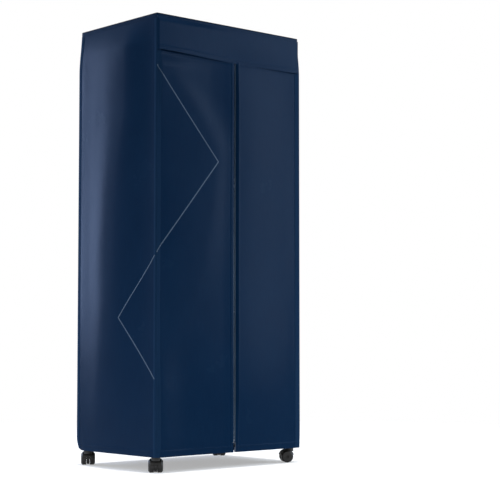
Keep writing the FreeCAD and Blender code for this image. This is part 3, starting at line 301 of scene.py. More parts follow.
def cloth(name, grid, look=CLOTH, thick=CLOTH_THICK, wrap=False, flip=False):
    """A closed sheet of two layers, with the grid as its outer layer.

    The outside is where the cross product of a step to the next column and one to the next row points, or
    the other side with flip. With wrap, the columns go round and the last row is filled.
    """
    rows, columns = grid.shape[:2]
    across = np.roll(grid, -1, 1) - np.roll(grid, 1, 1) if wrap else np.gradient(grid, axis=1)
    outward = np.cross(across, np.gradient(grid, axis=0))
    outward /= np.linalg.norm(outward, axis=2, keepdims=True) + TINY
    if flip:
        outward = -outward
    points = np.concatenate([grid.reshape(-1, 3), (grid - thick * outward).reshape(-1, 3)])
    layer = rows * columns
    last = layer - columns
    spans = columns if wrap else columns - 1
    faces = []
    for row in range(rows - 1):
        for column in range(spans):
            here = row * columns + column
            beside = row * columns + (column + 1) % columns
            quad = (here, beside, beside + columns, here + columns)
            inner = tuple(corner + layer for corner in quad)
            faces += [quad[::-1], inner] if flip else [quad, inner[::-1]]
    rim = []
    for column in range(spans):
        following = (column + 1) % columns
        rim.append((column, following))
        if not wrap:
            rim.append((last + following, last + column))
    if wrap:
        crown = tuple(range(last, layer))
        faces += [crown, tuple(corner + layer for corner in crown[::-1])]
    else:
        for start in range(0, last, columns):
            rim.append((start + columns, start))
            rim.append((start + columns - 1, start + 2 * columns - 1))
    for start, stop in rim:
        quad = (stop, start, start + layer, stop + layer)
        faces.append(quad[::-1] if flip else quad)
    wide = np.linalg.norm(np.diff(grid, axis=1), axis=2)
    tall = np.linalg.norm(np.diff(grid, axis=0), axis=2)
    u = np.concatenate([np.zeros((rows, 1)), np.cumsum(wide, 1)], 1)
    v = np.concatenate([np.zeros((1, columns)), np.cumsum(tall, 0)], 0)
    uv = np.tile(np.stack([u, v], 2).reshape(-1, 2), (2, 1))
    sharp = np.zeros((rows, columns), bool)
    sharp[0] = True
    if not wrap:
        sharp[-1] = True
        sharp[:, [0, -1]] = True
    return mesh_piece(name, points, faces, look, uv, np.tile(sharp.ravel(), 2))


def stitches(name, path, outward, lift=STITCH_LIFT):
    """A row of separate thread stitches, each a short bowed bead, along a path on a surface."""
    far = distances(path)
    spots = np.arange(STITCH_PITCH, far[-1] - STITCH_PITCH, STITCH_PITCH)
    middle = sampled(spots, far, path)
    ahead = unit(sampled(spots + STITCH_AIM, far, path) - middle)
    out = unit(sampled(spots, far, outward))
    beside = np.cross(ahead, out)
    bead = []
    for place, girth, rise in STITCH_RINGS:
        for side in range(BEAD_SIDES):
            turn = 2 * math.pi * side / BEAD_SIDES
            high = (math.sin(turn) * girth / 2 + rise) * STITCH_THICK
            bead.append((place * STITCH_LONG, math.cos(turn) * girth * STITCH_THICK / 2, high + lift))
    bead = np.array(bead)
    points = middle[:, None] + ahead[:, None] * bead[None, :, 0:1] + beside[:, None] * bead[None, :, 1:2]
    points = (points + out[:, None] * bead[None, :, 2:3]).reshape(-1, 3)
    faces = [face[::-1] for face in tube_faces(len(STITCH_RINGS), BEAD_SIDES)]
    return mesh_piece(name, points, repeated(faces, len(bead), len(spots)), THREAD, points[:, [0, 2]])


def welt(name, path, radius, look):
    """A round cord along a closed level path."""
    ahead = unit(np.roll(path, -1, 0) - np.roll(path, 1, 0))
    beside = unit(np.cross(ahead, UPWARD))
    above = np.cross(beside, ahead)
    turn = np.linspace(0, 2 * math.pi, WELT_SIDES, endpoint=False)
    ring = np.cos(turn)[None, :, None] * beside[:, None] + np.sin(turn)[None, :, None] * above[:, None]
    points = (path[:, None] + radius * ring).reshape(-1, 3)
    faces = [(face[0],) + face[:0:-1] for face in tube_faces(len(path), WELT_SIDES, closed=True)]
    uv = np.stack([np.tile(turn * radius, len(path)), np.repeat(distances(path), WELT_SIDES)], 1)
    return mesh_piece(name, points, faces, look, uv)


def dress(piece, body, slot_name, *nodes):
    """Puts a piece on a body, in place of the named nodes. The slot name is not used."""
    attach(piece, body)
    if nodes:
        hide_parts(*nodes)
    return piece


# Cover sides

SIDE_LOW, SIDE_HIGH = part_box("cover_left_panel")
LID_LOW, LID_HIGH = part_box("cover_top_panel")
HALF_X = LID_HIGH[0]
HALF_Y = LID_HIGH[1]
HEM = SIDE_LOW[2]
SIDE_TOP = SIDE_HIGH[2]
RETURN_X = -SIDE_HIGH[0]  # where a side's returns on the front and the back end
CORNER = 0.006  # radius of the upright corners
FLAT_X = HALF_X - CORNER
FLAT_Y = HALF_Y - CORNER
HELD_Y = 0.236  # beyond this distance from the middle a side is held by its corners
HEM_BAND = 0.024
HEM_FOLD = 0.0007  # how far the turned hem stands out
HEM_SLOPE = 0.0012
HEM_ROW = HEM + HEM_BAND - 0.004
HEM_ROW_LIFT = 0.0008
BINDING_LIFT = 0.0007
BINDING_THICK = 0.0006
REAR_FLARE = 0.0160
RIGHT_STAND_OFF = 0.0095
ROLL_SHARE = 0.7  # of the left side's fall, the share that rolls over and then goes straight
STRAIGHT = 1e-9  # an outward direction with less y than this points sideways

LOWER_Z = 0.3  # below this height and above the next one the rows of cloth are closer together
UPPER_Z = 1.5
SIDE_Z = np.unique(np.concatenate([
    np.linspace(HEM, HEM + 0.03, 16), np.linspace(HEM + 0.03, LOWER_Z, 22),
    np.linspace(LOWER_Z, UPPER_Z, 70), np.linspace(UPPER_Z, SIDE_TOP, 22)]))


def hem_step(z):
    edge = HEM + HEM_BAND
    return HEM_FOLD * (1 - ease(edge - HEM_SLOPE, edge + HEM_SLOPE, z))


def slack(z):
    """Share of the full swell at a height: none at the hem, less again near the top."""
    return ease(0.05, 0.4, z) * (1 - 0.6 * ease(1.5, 1.69, z))


def left_swell(y, z):
    """Outward swell of the left side: full in front, then falling back to the rear edge in a slow roll."""
    level = [0.06, 0.20, 0.44, 0.63, 0.82, 1.02, 1.21, 1.39, 1.50, 1.60, 1.69]
    # Where the roll starts, over what depth it turns and how steep it gets, at each level
    turns = [0.09, 0.08, 0.055, 0.028, 0.022, 0.012, -0.02, -0.065, -0.09, -0.15, -0.18]
    widths = [0.09, 0.085, 0.08, 0.09, 0.10, 0.10, 0.12, 0.15, 0.16, 0.20, 0.22]
    slopes = [0.01, 0.06, 0.11, 0.128, 0.128, 0.128, 0.12, 0.096, 0.085, 0.072, 0.0]
    turn, wide, slope = (np.interp(z, level, values) for values in (turns, widths, slopes))
    gone = np.clip(y - turn, 0, None)
    part = np.clip(gone / wide, 0, 1)
    rolled = wide * (part**3 - part**4 / 2) + np.clip(gone - wide, 0, None)
    length = HELD_Y - 0.002 - turn
    drop = slope * (ROLL_SHARE * rolled + (1 - ROLL_SHARE) * gone**2 / (2 * length))
    # The whole drop from the roll to the rear edge
    full = slope * (ROLL_SHARE * (length - wide / 2) + (1 - ROLL_SHARE) * length / 2)
    slow = 0.0008 * np.sin(9 * z + 5 * y) * np.sin(6 * y + 1.3) * (1 - ease(0.20, HELD_Y, np.abs(y)))
    return (full + 0.001) * ease(-HELD_Y, np.maximum(turn - 0.005, -0.06), y) - drop + slow


def right_swell(y, z):
    """Outward swell of the right side: a broad one that wanders with the height, a narrow one behind it."""
    broad = 0.006 * hill(y, -0.02 + 0.05 * np.sin(2.1 * z), 0.12)
    narrow = 0.003 * hill(y, 0.13 - 0.03 * z, 0.05)
    total = (broad + narrow) * slack(z) + 0.0010 * np.sin(8 * z + 6 * y + 1.0)
    return total * ease(-HELD_Y, -0.19, y) * (1 - ease(0.19, HELD_Y, y))


def side_outline():
    """The wrap of one side from above, from its front return to its rear one: x, y and outward direction."""
    half_way = (RETURN_X + FLAT_X) / 2
    quarter = np.linspace(0, math.pi / 2, 9)
    spots = [(RETURN_X, -HALF_Y, 0, -1), (half_way, -HALF_Y, 0, -1)]
    for turn in quarter:
        out_x, out_y = math.sin(turn), -math.cos(turn)
        spots.append((FLAT_X + CORNER * out_x, -FLAT_Y + CORNER * out_y, out_x, out_y))
    for y in np.linspace(-FLAT_Y, FLAT_Y, 62)[1:-1]:
        spots.append((HALF_X, y, 1, 0))
    for turn in quarter:
        out_x, out_y = math.cos(turn), math.sin(turn)
        spots.append((FLAT_X + CORNER * out_x, FLAT_Y + CORNER * out_y, out_x, out_y))
    spots += [(half_way, HALF_Y, 0, 1), (RETURN_X, HALF_Y, 0, 1)]
    return np.array(spots)


OUTLINE = side_outline()
FRONT_CORNER = slice(0, 12)  # points of the outline under the front binding
REAR_CORNER = slice(-13, None)


def rear_flare(x, y, z):
    """The rear corners flare backward between the hem and the top."""
    level = ease(HEM - 0.03, HEM + 0.04, z) * (1 - ease(1.54, 1.70, z))
    return REAR_FLARE * level * ease(HALF_Y - 0.09, FLAT_Y, y) * ease(RETURN_X, FLAT_X, x)


def stand_off(sign, x, y, z):
    """The front corner of the right side stands off the frame below the top."""
    if sign < 0:
        return 0.0
    front = 1 - ease(-HALF_Y + 0.02, -HALF_Y + 0.16, y)
    return RIGHT_STAND_OFF * (1 - ease(1.55, 1.68, z)) * front * ease(RETURN_X, FLAT_X, x)


def left_flap_swell(x, z):
    """A crest that runs from the top corner to the zip, dies out and is back at the corner near the hem."""
    level = [0.06, 0.30, 0.45, 0.63, 0.75, 0.85, 1.02, 1.21, 1.32, 1.43, 1.56]
    # Where the crest is, how far it stands out and how wide it is toward the zip, at each level
    crests = [-0.33, -0.33, -0.32, -0.22, -0.14, -0.12, -0.10, -0.080, -0.150, -0.255, -0.38]
    reaches = [0.001, 0.0055, 0.003, 0.001, 0.003, 0.005, 0.007, 0.007, 0.007, 0.0075, 0.010]
    widths = [0.07, 0.07, 0.07, 0.08, 0.085, 0.085, 0.085, 0.085, 0.085, 0.10, 0.19]
    crest, reach, wide = (np.interp(z, level, values) for values in (crests, reaches, widths))
    ridge = reach * hill(x, crest, np.where(x < crest, 3 * wide, wide)) * (1 - 0.8 * ease(1.50, 1.57, z))
    low_corner = 0.0090 * (1 - ease(0.06, 0.45, z)) * (1 - ease(-0.40, -0.20, x))
    high_edge = 0.0035 * ease(-0.11, 0.012, x) * ease(1.20, 1.45, z)
    zip_edge = 0.0014 * ease(-0.04, 0.01, x)
    slow = 0.0005 * np.sin(6 * z + 14 * x) * ease(-0.341, -0.30, x)
    return ridge + low_corner + high_edge + zip_edge + slow


def corner_lean(sign, x, out_y, z):
    """The front edge of the left side comes forward with the flap that is sewn to it."""
    if sign > 0:
        return 0.0
    share = np.clip((FLAT_X - x) / (FLAT_X - RETURN_X), 0, 1) * (out_y < -0.5)
    return share * left_flap_swell(-RETURN_X, z)


def side_points(sign, swell, z, lift=0.0, rise=0.0):
    """Points round a side at one height, moved out by its swell and by lift, and up by rise."""
    x, y, out_x, out_y = OUTLINE.T
    out = swell(y, z) * (np.abs(out_y) < STRAIGHT) + lift
    wide = sign * (x + out_x * out) + stand_off(sign, x, y, z)
    deep = y + out_y * out + rear_flare(x, y, z) - corner_lean(sign, x, out_y, z)
    return np.stack([wide, deep, np.full(len(x), z) + rise], 1)


def side_grid(sign, swell):
    """All rows of a side, with its corners tucked in and its rear corner raised at the hem."""
    y = OUTLINE[:, 1]
    rows = []
    for z in SIDE_Z:
        tuck = 0.002 * (1 - ease(HEM, HEM + 0.05, z)) * ease(0.19, HALF_Y, np.abs(y))
        rise = 0.010 * ease(HALF_Y - 0.03, HALF_Y, y) * (1 - ease(HEM, HEM + 0.06, z))
        rows.append(side_points(sign, swell, z, hem_step(z) - tuck, rise))
    return np.stack(rows)


for word, sign, swell in (("left", -1, left_swell), ("right", 1, right_swell)):
    grid = side_grid(sign, swell)
    outward = np.stack([sign * OUTLINE[:, 2], OUTLINE[:, 3], np.zeros(len(OUTLINE))], 1)
    side = cloth(f"cover_{word}_side", grid, flip=sign < 0)
    dress(side, "cover", "cover_cloth", f"cover_{word}_panel")
    hem_path = side_points(sign, swell, HEM_ROW)
    hem_row = stitches(f"hem_stitches_{word}_side", hem_path, outward, HEM_ROW_LIFT)
    extras = [dress(hem_row, "cover", "cover_cloth")]
    for end, span in (("front", FRONT_CORNER), ("rear", REAR_CORNER)):
        lifted = grid[:, span] + BINDING_LIFT * outward[None, span]
        # The corner bindings take the lighter navy, which paints the highlight along the front and rear
        # corners
        tape = cloth(f"corner_binding_{end}_{word}", lifted, BINDING_PAINTED_HIGHLIGHT, BINDING_THICK, flip=sign < 0)
        extras.append(dress(tape, "cover", "cover_cloth"))

# Cover top

EDGE = 0.005  # radius of the lid's upper edge
ROUND = 0.005  # radius of the lid's corners from above, at its rim
ROUND_LOSS = 0.05  # and how fast they get sharper inward
LEAST_ROUND = 0.0008
LID_SKIRT = 0.003
LID_SAG = 0.0065
RAIL_Y = 0.081  # over the third rail the lid sags less
WELT_RADIUS = 0.0019
WELT_INSET = EDGE * 0.30


def lid_ring(inset, z):
    """A ring of the lid at a distance inside its rim, sagging toward the middle."""
    radius = max(ROUND - inset * ROUND_LOSS, LEAST_ROUND)
    wide, deep = HALF_X - inset - radius, HALF_Y - inset - radius
    centres = [(wide, deep), (-wide, deep), (-wide, -deep), (wide, -deep)]
    spots = []
    for quarter, (x, y) in enumerate(centres):
        for turn in np.linspace(0, 90, 8):
            angle = math.radians(90 * quarter + turn)
            spots.append((x + radius * math.cos(angle), y + radius * math.sin(angle)))
        next_x, next_y = centres[(quarter + 1) % 4]
        stop = (next_x + radius * math.cos(angle), next_y + radius * math.sin(angle))
        spots += list(np.linspace(spots[-1], stop, 26)[1:-1])
    x, y = np.array(spots).T
    sag = LID_SAG * ease(0.02, 0.16, inset) * (1 - 0.55 * hill(y, RAIL_Y, 0.03))
    sag = sag + 0.0006 * np.sin(30 * x + 12 * y) * ease(0.02, 0.08, inset)
    return np.stack([x, y, z - sag], 1)


rings = [(0.0, LID_LOW[2]), (0.0, LID_LOW[2] + LID_SKIRT)]
for turn in np.linspace(0, math.pi / 2, 8):
    rings.append((EDGE * (1 - math.cos(turn)), LID_HIGH[2] - EDGE + EDGE * math.sin(turn)))
for inset in (0.022, 0.035, 0.05, 0.07, 0.095, 0.12, 0.15, 0.18, 0.205, 0.225, 0.238):
    rings.append((inset, LID_HIGH[2]))
lid = cloth("cover_lid", np.stack([lid_ring(inset, z) for inset, z in rings]), wrap=True)
dress(lid, "cover", "cover_cloth", "cover_top_panel")
edge_path = lid_ring(WELT_INSET, LID_HIGH[2] - WELT_INSET)
# The edge cord is a real seam, and its near-black colour paints the shade along the lid's rounded top edge
top_seam = dress(welt("lid_edge_piping_painted_shade", edge_path, WELT_RADIUS, PIPING_PAINTED_SHADE), "cover", "cover_cloth")

# Cover back and header

BACK_LOW, BACK_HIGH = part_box("cover_back_panel")
HEAD_LOW, HEAD_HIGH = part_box("cover_header")
HEAD_TALL = 0.175  # the header's ripple dies out over this height


def back_swell(x, z):
    """Two wandering swells on the back, with a shallow hollow between them."""
    left = 0.004 * hill(x, -0.14 + 0.03 * np.sin(2 * z), 0.10)
    right = 0.005 * hill(x, 0.13 - 0.04 * z, 0.11)
    hollow = 0.0015 * hill(x, 0, 0.05)
    total = (left + right - hollow) * slack(z) + 0.0008 * np.sin(7 * z + 9 * x)
    return total * (1 - ease(0.30, 0.34, np.abs(x)))


columns = np.linspace(BACK_LOW[0], BACK_HIGH[0], 64)
grid_x, grid_z = np.meshgrid(columns, SIDE_Z[SIDE_Z <= BACK_HIGH[2]])
grid = np.stack([grid_x, BACK_HIGH[1] + back_swell(grid_x, grid_z) + hem_step(grid_z), grid_z], 2)
back = dress(cloth("cover_back", grid, flip=True), "cover", "cover_cloth", "cover_back_panel")
x = np.linspace(BACK_LOW[0], BACK_HIGH[0], 80)
z = np.full(len(x), HEM_ROW)
path = np.stack([x, BACK_HIGH[1] + back_swell(x, z), z], 1)
back_hem = stitches("hem_stitches_back", path, facing(BACKWARD, path), HEM_ROW_LIFT)
dress(back_hem, "cover", "cover_cloth")

columns = np.linspace(HEAD_LOW[0], HEAD_HIGH[0], 40)
grid_x, grid_z = np.meshgrid(columns, np.linspace(HEAD_LOW[2], HEAD_HIGH[2], 14))
ripple = 0.0006 * np.sin(40 * grid_x) * (1 - (grid_z - HEAD_LOW[2]) / HEAD_TALL)
grid = np.stack([grid_x, HEAD_LOW[1] + ripple, grid_z], 2)
header = dress(cloth("cover_header_strip", grid), "cover", "cover_cloth", "cover_header")

# Valance

VAL_LOW, VAL_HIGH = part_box("cover_valance")
VAL_HALF = HALF_X - 0.0005
VAL_SEAM_Y = VAL_HIGH[1] - CLOTH_THICK
VAL_END_Y = -HALF_Y - 0.0011
VAL_SEWN = 0.004  # over this width the valance's ends come back to the cover
VAL_FOLD = 0.0006  # how far the turned lower edge stands out


def valance_face(x, share):
    """Front and height of the valance, where share goes from 0 at its seam to 1 at its lower edge."""
    y = VAL_SEAM_Y + (VAL_LOW[1] - VAL_SEAM_Y) * share
    y = y - 0.0022 * hill(x, 0.12, 0.15) * share * (1.2 - share) * 2 + 0.0012 * np.sin(11 * x + 0.6) * share
    y = y - 0.0085 * (1 - ease(-0.55, 0.06, x)) * ease(0.0, 0.12, share)
    free = ease(0.0, VAL_SEWN, VAL_HALF - np.abs(x))
    y = y * free + VAL_END_Y * (1 - free)
    droop = 0.0035 + 0.0055 * ease(-0.36, 0.05, x) + 0.0010 * np.sin(9 * x + 1.1)
    z = VAL_HIGH[2] + (VAL_LOW[2] - VAL_HIGH[2]) * share - droop * share
    return y, z


rows = np.unique(np.concatenate([np.linspace(0, 0.84, 20), np.linspace(0.84, 1, 12)]))
ends = np.linspace(0, 0.005, 7)
between = np.linspace(0.012 - VAL_HALF, VAL_HALF - 0.012, 70)
columns = np.unique(np.concatenate([ends - VAL_HALF, between, VAL_HALF - ends]))
grid_x, grid_share = np.meshgrid(columns, rows)
face_y, face_z = valance_face(grid_x, grid_share)
grid = np.stack([grid_x, face_y - VAL_FOLD * ease(0.855, 0.875, grid_share), face_z], 2)
valance = dress(cloth("cover_valance_band", grid, flip=True), "cover", "cover_cloth", "cover_valance")
x = np.linspace(VAL_SEWN - VAL_HALF, VAL_HALF - VAL_SEWN, 90)
for label, share, lift in (("seam", 0.05, STITCH_LIFT), ("hem", 0.89, 0.0009)):
    y, z = valance_face(x, np.full(len(x), share))
    path = np.stack([x, y, z], 1)
    row = stitches(f"valance_{label}_stitches", path, facing(FORWARD, path), lift)
    dress(row, "cover", "cover_cloth")

# Front flaps

FLAP_LOW, FLAP_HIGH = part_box("front_left_flap")
RIGHT_LOW, RIGHT_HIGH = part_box("front_right_flap")
FRONT = FLAP_LOW[1]
FLAP_TOP = FLAP_HIGH[2]
EDGES = {"left": FLAP_HIGH[0], "right": RIGHT_LOW[0]}
HINGES = {"left": FLAP_LOW[0], "right": RIGHT_HIGH[0]}
FLAP_FOLD = 0.0006  # how far the turned edges stand out
FOLD_WIDE = 0.0135
FOLD_SLOPE = 0.0015
ZIP_ROW = 0.010  # row of stitches beside the zip, from the flap's edge
TOP_ROW = 0.009  # row of stitches below the flap's top
ROW_END = 0.006  # what the row beside the zip leaves free at its ends
ROW_FROM_ZIP = 0.004  # and what the level rows leave free
ROW_FROM_HINGE = 0.002
FLAP_Z = np.unique(np.concatenate([
    SIDE_Z[SIDE_Z < UPPER_Z], np.linspace(UPPER_Z, FLAP_TOP - 0.016, 12),
    np.linspace(FLAP_TOP - 0.016, FLAP_TOP, 6)]))


def right_flap_swell(x, z):
    """The right flap stands proud at the zip and falls back evenly toward its corner."""
    away = x - EDGES["right"]
    held = 1 - ease(0.29, 0.341, x)
    bulge = 0.0066 * (1 - ease(0.0, 0.30, away)) * ease(0.0, 0.009, away)
    proud = 0.0018 * (1 - ease(0.0, 0.25, away))
    firm = ease(0.04, 0.3, z) * (1 - 0.4 * ease(1.4, 1.56, z)) * held
    return (bulge + proud) * firm + 0.0006 * np.sin(5 * z + 9 * x) * held


FLAP_SWELLS = {"left": left_flap_swell, "right": right_flap_swell}


def flap_columns(word):
    """The x of a flap's columns, closest together at the zip."""
    wide = abs(HINGES[word] - EDGES[word])
    near_zip = np.linspace(0, 0.02, 12)
    near_hinge = np.linspace(wide - 0.02, wide, 8)
    spots = np.unique(np.concatenate([near_zip, np.linspace(0.02, wide - 0.02, 46), near_hinge]))
    return np.sort(EDGES[word] + math.copysign(1, HINGES[word]) * spots)


def on_flap(word, x, z):
    """Points on the front of a flap, folds included."""
    beside_zip = 1 - ease(FOLD_WIDE, FOLD_WIDE + FOLD_SLOPE, np.abs(x - EDGES[word]))
    at_top = ease(FLAP_TOP - FOLD_WIDE, FLAP_TOP - FOLD_WIDE + FOLD_SLOPE, z)
    fold = FLAP_FOLD * (beside_zip + at_top)
    return np.stack([x, FRONT - FLAP_SWELLS[word](x, z) - hem_step(z) - fold, z], -1)


FLAPS = {}
for word, sign in (("left", -1), ("right", 1)):
    flap = cloth(f"{word}_flap_cloth", on_flap(word, *np.meshgrid(flap_columns(word), FLAP_Z)))
    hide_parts(f"front_{word}_flap")
    rows = []
    x = np.linspace(EDGES[word] + sign * ROW_FROM_ZIP, HINGES[word] - sign * ROW_FROM_HINGE, 90)
    for label, level in (("hem", HEM_ROW), ("top", FLAP_TOP - TOP_ROW)):
        path = on_flap(word, x, np.full(len(x), level))
        rows.append(stitches(f"{label}_stitches_{word}_flap", path, facing(FORWARD, path)))
    z = np.linspace(HEM + ROW_END, FLAP_TOP - ROW_END, 160)
    path = on_flap(word, np.full(len(z), EDGES[word] + sign * ZIP_ROW), z)
    rows.append(stitches(f"zip_stitches_{word}_flap", path, facing(FORWARD, path)))
    FLAPS[word] = (flap, rows)

# Printed stripe

STRIPE_WIDE = 0.0042
STRIPE_THICK = 0.00025
# Places across the stripe and above the cloth, as shares of its width and thickness
STRIPE_SECTION = [
    (-0.5, -0.5), (-0.5, 0.2), (-0.44, 0.7), (-0.3, 1.0), (0.3, 1.0), (0.44, 0.7), (0.5, 0.2), (0.5, -0.5)]
STRIPE_START = HINGES["left"] + 0.0003
STRIPE_TIP_X = -0.0659
FRONT_RUN = [(STRIPE_START, 1.4761), (STRIPE_TIP_X, 1.1648), (STRIPE_START, 0.8348)]  # x and z
RETURN_START = -0.3420
RETURN_END = -0.3575
RETURN_RUNS = {"upper": (1.4766, 1.5054), "lower": (0.8342, 0.8090)}  # z at both ends
SIDE_START = -FLAT_Y + 0.001
SIDE_TIP_Y = -0.0310
SIDE_RUN = [(SIDE_START, 0.7985), (SIDE_TIP_Y, 0.5698), (SIDE_START, 0.3427)]  # y and z


def along(points, count):
    """Points spread evenly along straight runs, with the runs' own ends among them."""
    points = np.asarray(points, float)
    far = distances(points)
    return sampled(np.unique(np.concatenate([np.linspace(0, far[-1], count), far])), far, points)


def stripe(name, path, direction):
    """A thin ribbon with rounded edges that lies on a surface along a path."""
    outward = facing(direction, path)
    beside = unit(np.cross(unit(np.gradient(path, axis=0)), outward))
    rings = []
    for across, above in STRIPE_SECTION:
        rings.append(path + beside * (across * STRIPE_WIDE) + outward * (above * STRIPE_THICK))
    points = np.stack(rings, 1).reshape(-1, 3)
    u = np.tile([across * STRIPE_WIDE for across, above in STRIPE_SECTION], len(path))
    uv = np.stack([u, np.repeat(distances(path), len(STRIPE_SECTION))], 1)
    return mesh_piece(name, points, tube_faces(len(path), len(STRIPE_SECTION)), STRIPE, uv)


x, z = along(FRONT_RUN, 90).T
FLAPS["left"][1].append(stripe("stripe_left_flap", on_flap("left", x, z), FORWARD))
for label, (start_z, end_z) in RETURN_RUNS.items():
    x, z = along([(RETURN_START, start_z), (RETURN_END, end_z)], 12).T
    lean = corner_lean(-1, -x, np.full(len(x), -1.0), z)
    path = np.stack([x, -HALF_Y - BINDING_LIFT - lean, z], 1)
    dress(stripe(f"stripe_{label}_return", path, FORWARD), "cover", "cover_cloth")
y, z = along(SIDE_RUN, 80).T
over = BINDING_LIFT * (1 - ease(-HALF_Y + 0.022, -HALF_Y + 0.030, y))
path = np.stack([-(HALF_X + left_swell(y, z) + over), y, z], 1)
dress(stripe("stripe_left_side", path, LEFTWARD), "cover", "cover_cloth")

# Zip

ZIP_LOW, ZIP_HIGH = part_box("zip_tape_left")
ZIP_X = (ZIP_HIGH[0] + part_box("zip_tape_right")[0][0]) / 2
ZIP_TOP = FLAP_TOP - 0.003
ZIP_INNER = ZIP_X - ZIP_HIGH[0]
ZIP_OUTER = ZIP_X - ZIP_LOW[0]
ZIP_FACE = ZIP_LOW[1] + 0.0011
TAPE_THICK = 0.0008
TAPE_COLUMNS = np.array([
    ZIP_INNER + 0.0012, ZIP_INNER + 0.002, ZIP_INNER + 0.0045, ZIP_INNER + 0.006,
    ZIP_OUTER - 0.003, ZIP_OUTER - 0.001, ZIP_OUTER])
COIL_END = 0.002  # what the coil leaves free of the tape's ends
TOOTH_PITCH = 0.0030
TOOTH_ROOT = ZIP_INNER + 0.0046
TOOTH_LONG = 0.0044
TOOTH_DEEP = 0.0009
TOOTH_TALL = 0.00062
TOOTH_RINGS = ((0.0, 0.55), (0.12, 1.0), (0.75, 1.0), (0.9, 1.15), (1.0, 0.6))  # place and girth
TOOTH_FACES = tube_faces(len(TOOTH_RINGS), BEAD_SIDES)

tooth = []
for reach, girth in TOOTH_RINGS:
    for side in range(BEAD_SIDES):
        turn = 2 * math.pi * (side + 0.5) / BEAD_SIDES
        tooth.append((reach, math.cos(turn) * girth, math.sin(turn) * girth))
reach, deep, tall = np.array(tooth).T
for word, sign in (("left", -1), ("right", 1)):
    flap, rows = FLAPS[word]
    body = f"{word}_flap"
    columns = ZIP_X + np.sort(sign * TAPE_COLUMNS)
    grid_x, grid_z = np.meshgrid(columns, np.linspace(ZIP_LOW[2], ZIP_TOP, 200))
    ridge = 0.0003 * hill(np.abs(grid_x - ZIP_X), ZIP_INNER + 0.0015, 0.0012)
    # The tape's colour carries painted light that lifts the shade of the recess between the flaps
    tape = cloth(f"zip_tape_cloth_{word}", np.stack([grid_x, ZIP_FACE + ridge, grid_z], 2), TAPE_PAINTED_LIGHT, TAPE_THICK)
    first = ZIP_LOW[2] + COIL_END + (TOOTH_PITCH / 2 if sign > 0 else 0)
    starts = np.arange(first, ZIP_TOP - COIL_END, TOOTH_PITCH)
    points = np.empty((len(starts), len(tooth), 3))
    points[:, :, 0] = ZIP_X + sign * (TOOTH_ROOT - reach * TOOTH_LONG)
    points[:, :, 1] = ZIP_FACE + deep * TOOTH_DEEP
    points[:, :, 2] = starts[:, None] + tall * TOOTH_TALL
    faces = [face if sign < 0 else face[::-1] for face in TOOTH_FACES]
    faces = repeated(faces, len(tooth), len(starts))
    # The coil's colour carries painted light that lifts the shade of the recess between the flaps
    coil = mesh_piece(f"zip_coil_painted_light_{word}", points.reshape(-1, 3), faces, COIL_PAINTED_LIGHT)
    for made in (tape, coil):
        dress(made, body, "zip_tape")
    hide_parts(f"zip_tape_{word}")
    for made in [flap] + rows:
        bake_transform(made)

# Display digits

GLASS_LOW, GLASS_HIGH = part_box("display_window")
GLASS_X = (GLASS_LOW[0] + GLASS_HIGH[0]) / 2
GLASS_Z = (GLASS_LOW[2] + GLASS_HIGH[2]) / 2
DIGIT_FACES = (GLASS_LOW[1] - 0.00025, GLASS_LOW[1] + 0.0001)
DIGIT_TALL = 0.0105
DIGIT_WIDE = 0.0058
DIGIT_SHIFT = 0.0048
BAR = 0.0011
# Ends of the seven bars, as shares of a digit's width and height
BARS = {"a": (0, 1, 1, 1), "b": (1, 0.5, 1, 1), "c": (1, 0, 1, 0.5), "d": (0, 0, 1, 0),
        "e": (0, 0, 0, 0.5), "f": (0, 0.5, 0, 1), "g": (0, 0.5, 1, 0.5)}
BAR_POINTS = 6

glow, tree, shader = surface("display_digits", Emission_Strength=0.9, Roughness=0.3)
speckle = noise(tree, mapped(tree, "Object"), 400.0)
tint = ramp(tree, speckle, [(0.3, (0.55, 0.80, 0.95)), (0.8, (0.75, 0.92, 1.0))])
tree.links.new(tint, shader.inputs["Emission Color"])
tree.links.new(tint, shader.inputs["Base Color"])


def bar_outline(bar, shift):
    """One bar of a digit, pointed at both ends, as x and z on the glass."""
    start_x, start_z, stop_x, stop_z = BARS[bar]
    middle_x = GLASS_X + shift
    start = np.array([middle_x + (start_x - 0.5) * DIGIT_WIDE, GLASS_Z + (start_z - 0.5) * DIGIT_TALL])
    stop = np.array([middle_x + (stop_x - 0.5) * DIGIT_WIDE, GLASS_Z + (stop_z - 0.5) * DIGIT_TALL])
    ahead = (stop - start) / np.linalg.norm(stop - start)
    beside = np.array([-ahead[1], ahead[0]])
    start, stop = start + ahead * BAR * 0.6, stop - ahead * BAR * 0.6
    return [start, start + (ahead + beside) * BAR / 2, stop + (beside - ahead) * BAR / 2, stop,
            stop - (ahead + beside) * BAR / 2, start + (ahead - beside) * BAR / 2]


digit_points = []
bars = 0
for lit, shift in (("afedcg", -DIGIT_SHIFT), ("abcdef", DIGIT_SHIFT)):
    for bar in lit:
        outline = bar_outline(bar, shift)
        bars += 1
        for y in DIGIT_FACES:
            digit_points += [(x, y, z) for x, z in outline]
digit_faces = repeated(tube_faces(len(DIGIT_FACES), BAR_POINTS), len(DIGIT_FACES) * BAR_POINTS, bars)
digits = mesh_piece("display_digits", np.array(digit_points), digit_faces, glow)
dress(digits, "heater", "display_dark")

# Outlet screen

CAGE_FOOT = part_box("outlet_cage")[0][2]
CAGE_Z = CAGE_FOOT + np.array([0.004, 0.018, 0.0372, 0.0585])
CAGE_RADIUS = np.array([0.0492, 0.0442, 0.0422, 0.0446])  # radius of the screen at those heights
UPRIGHT_WIRES = 60
HOOPS = 17
WIRE = 0.0005
WIRE_SIDES = 4
screen_points = []
screen_faces = []


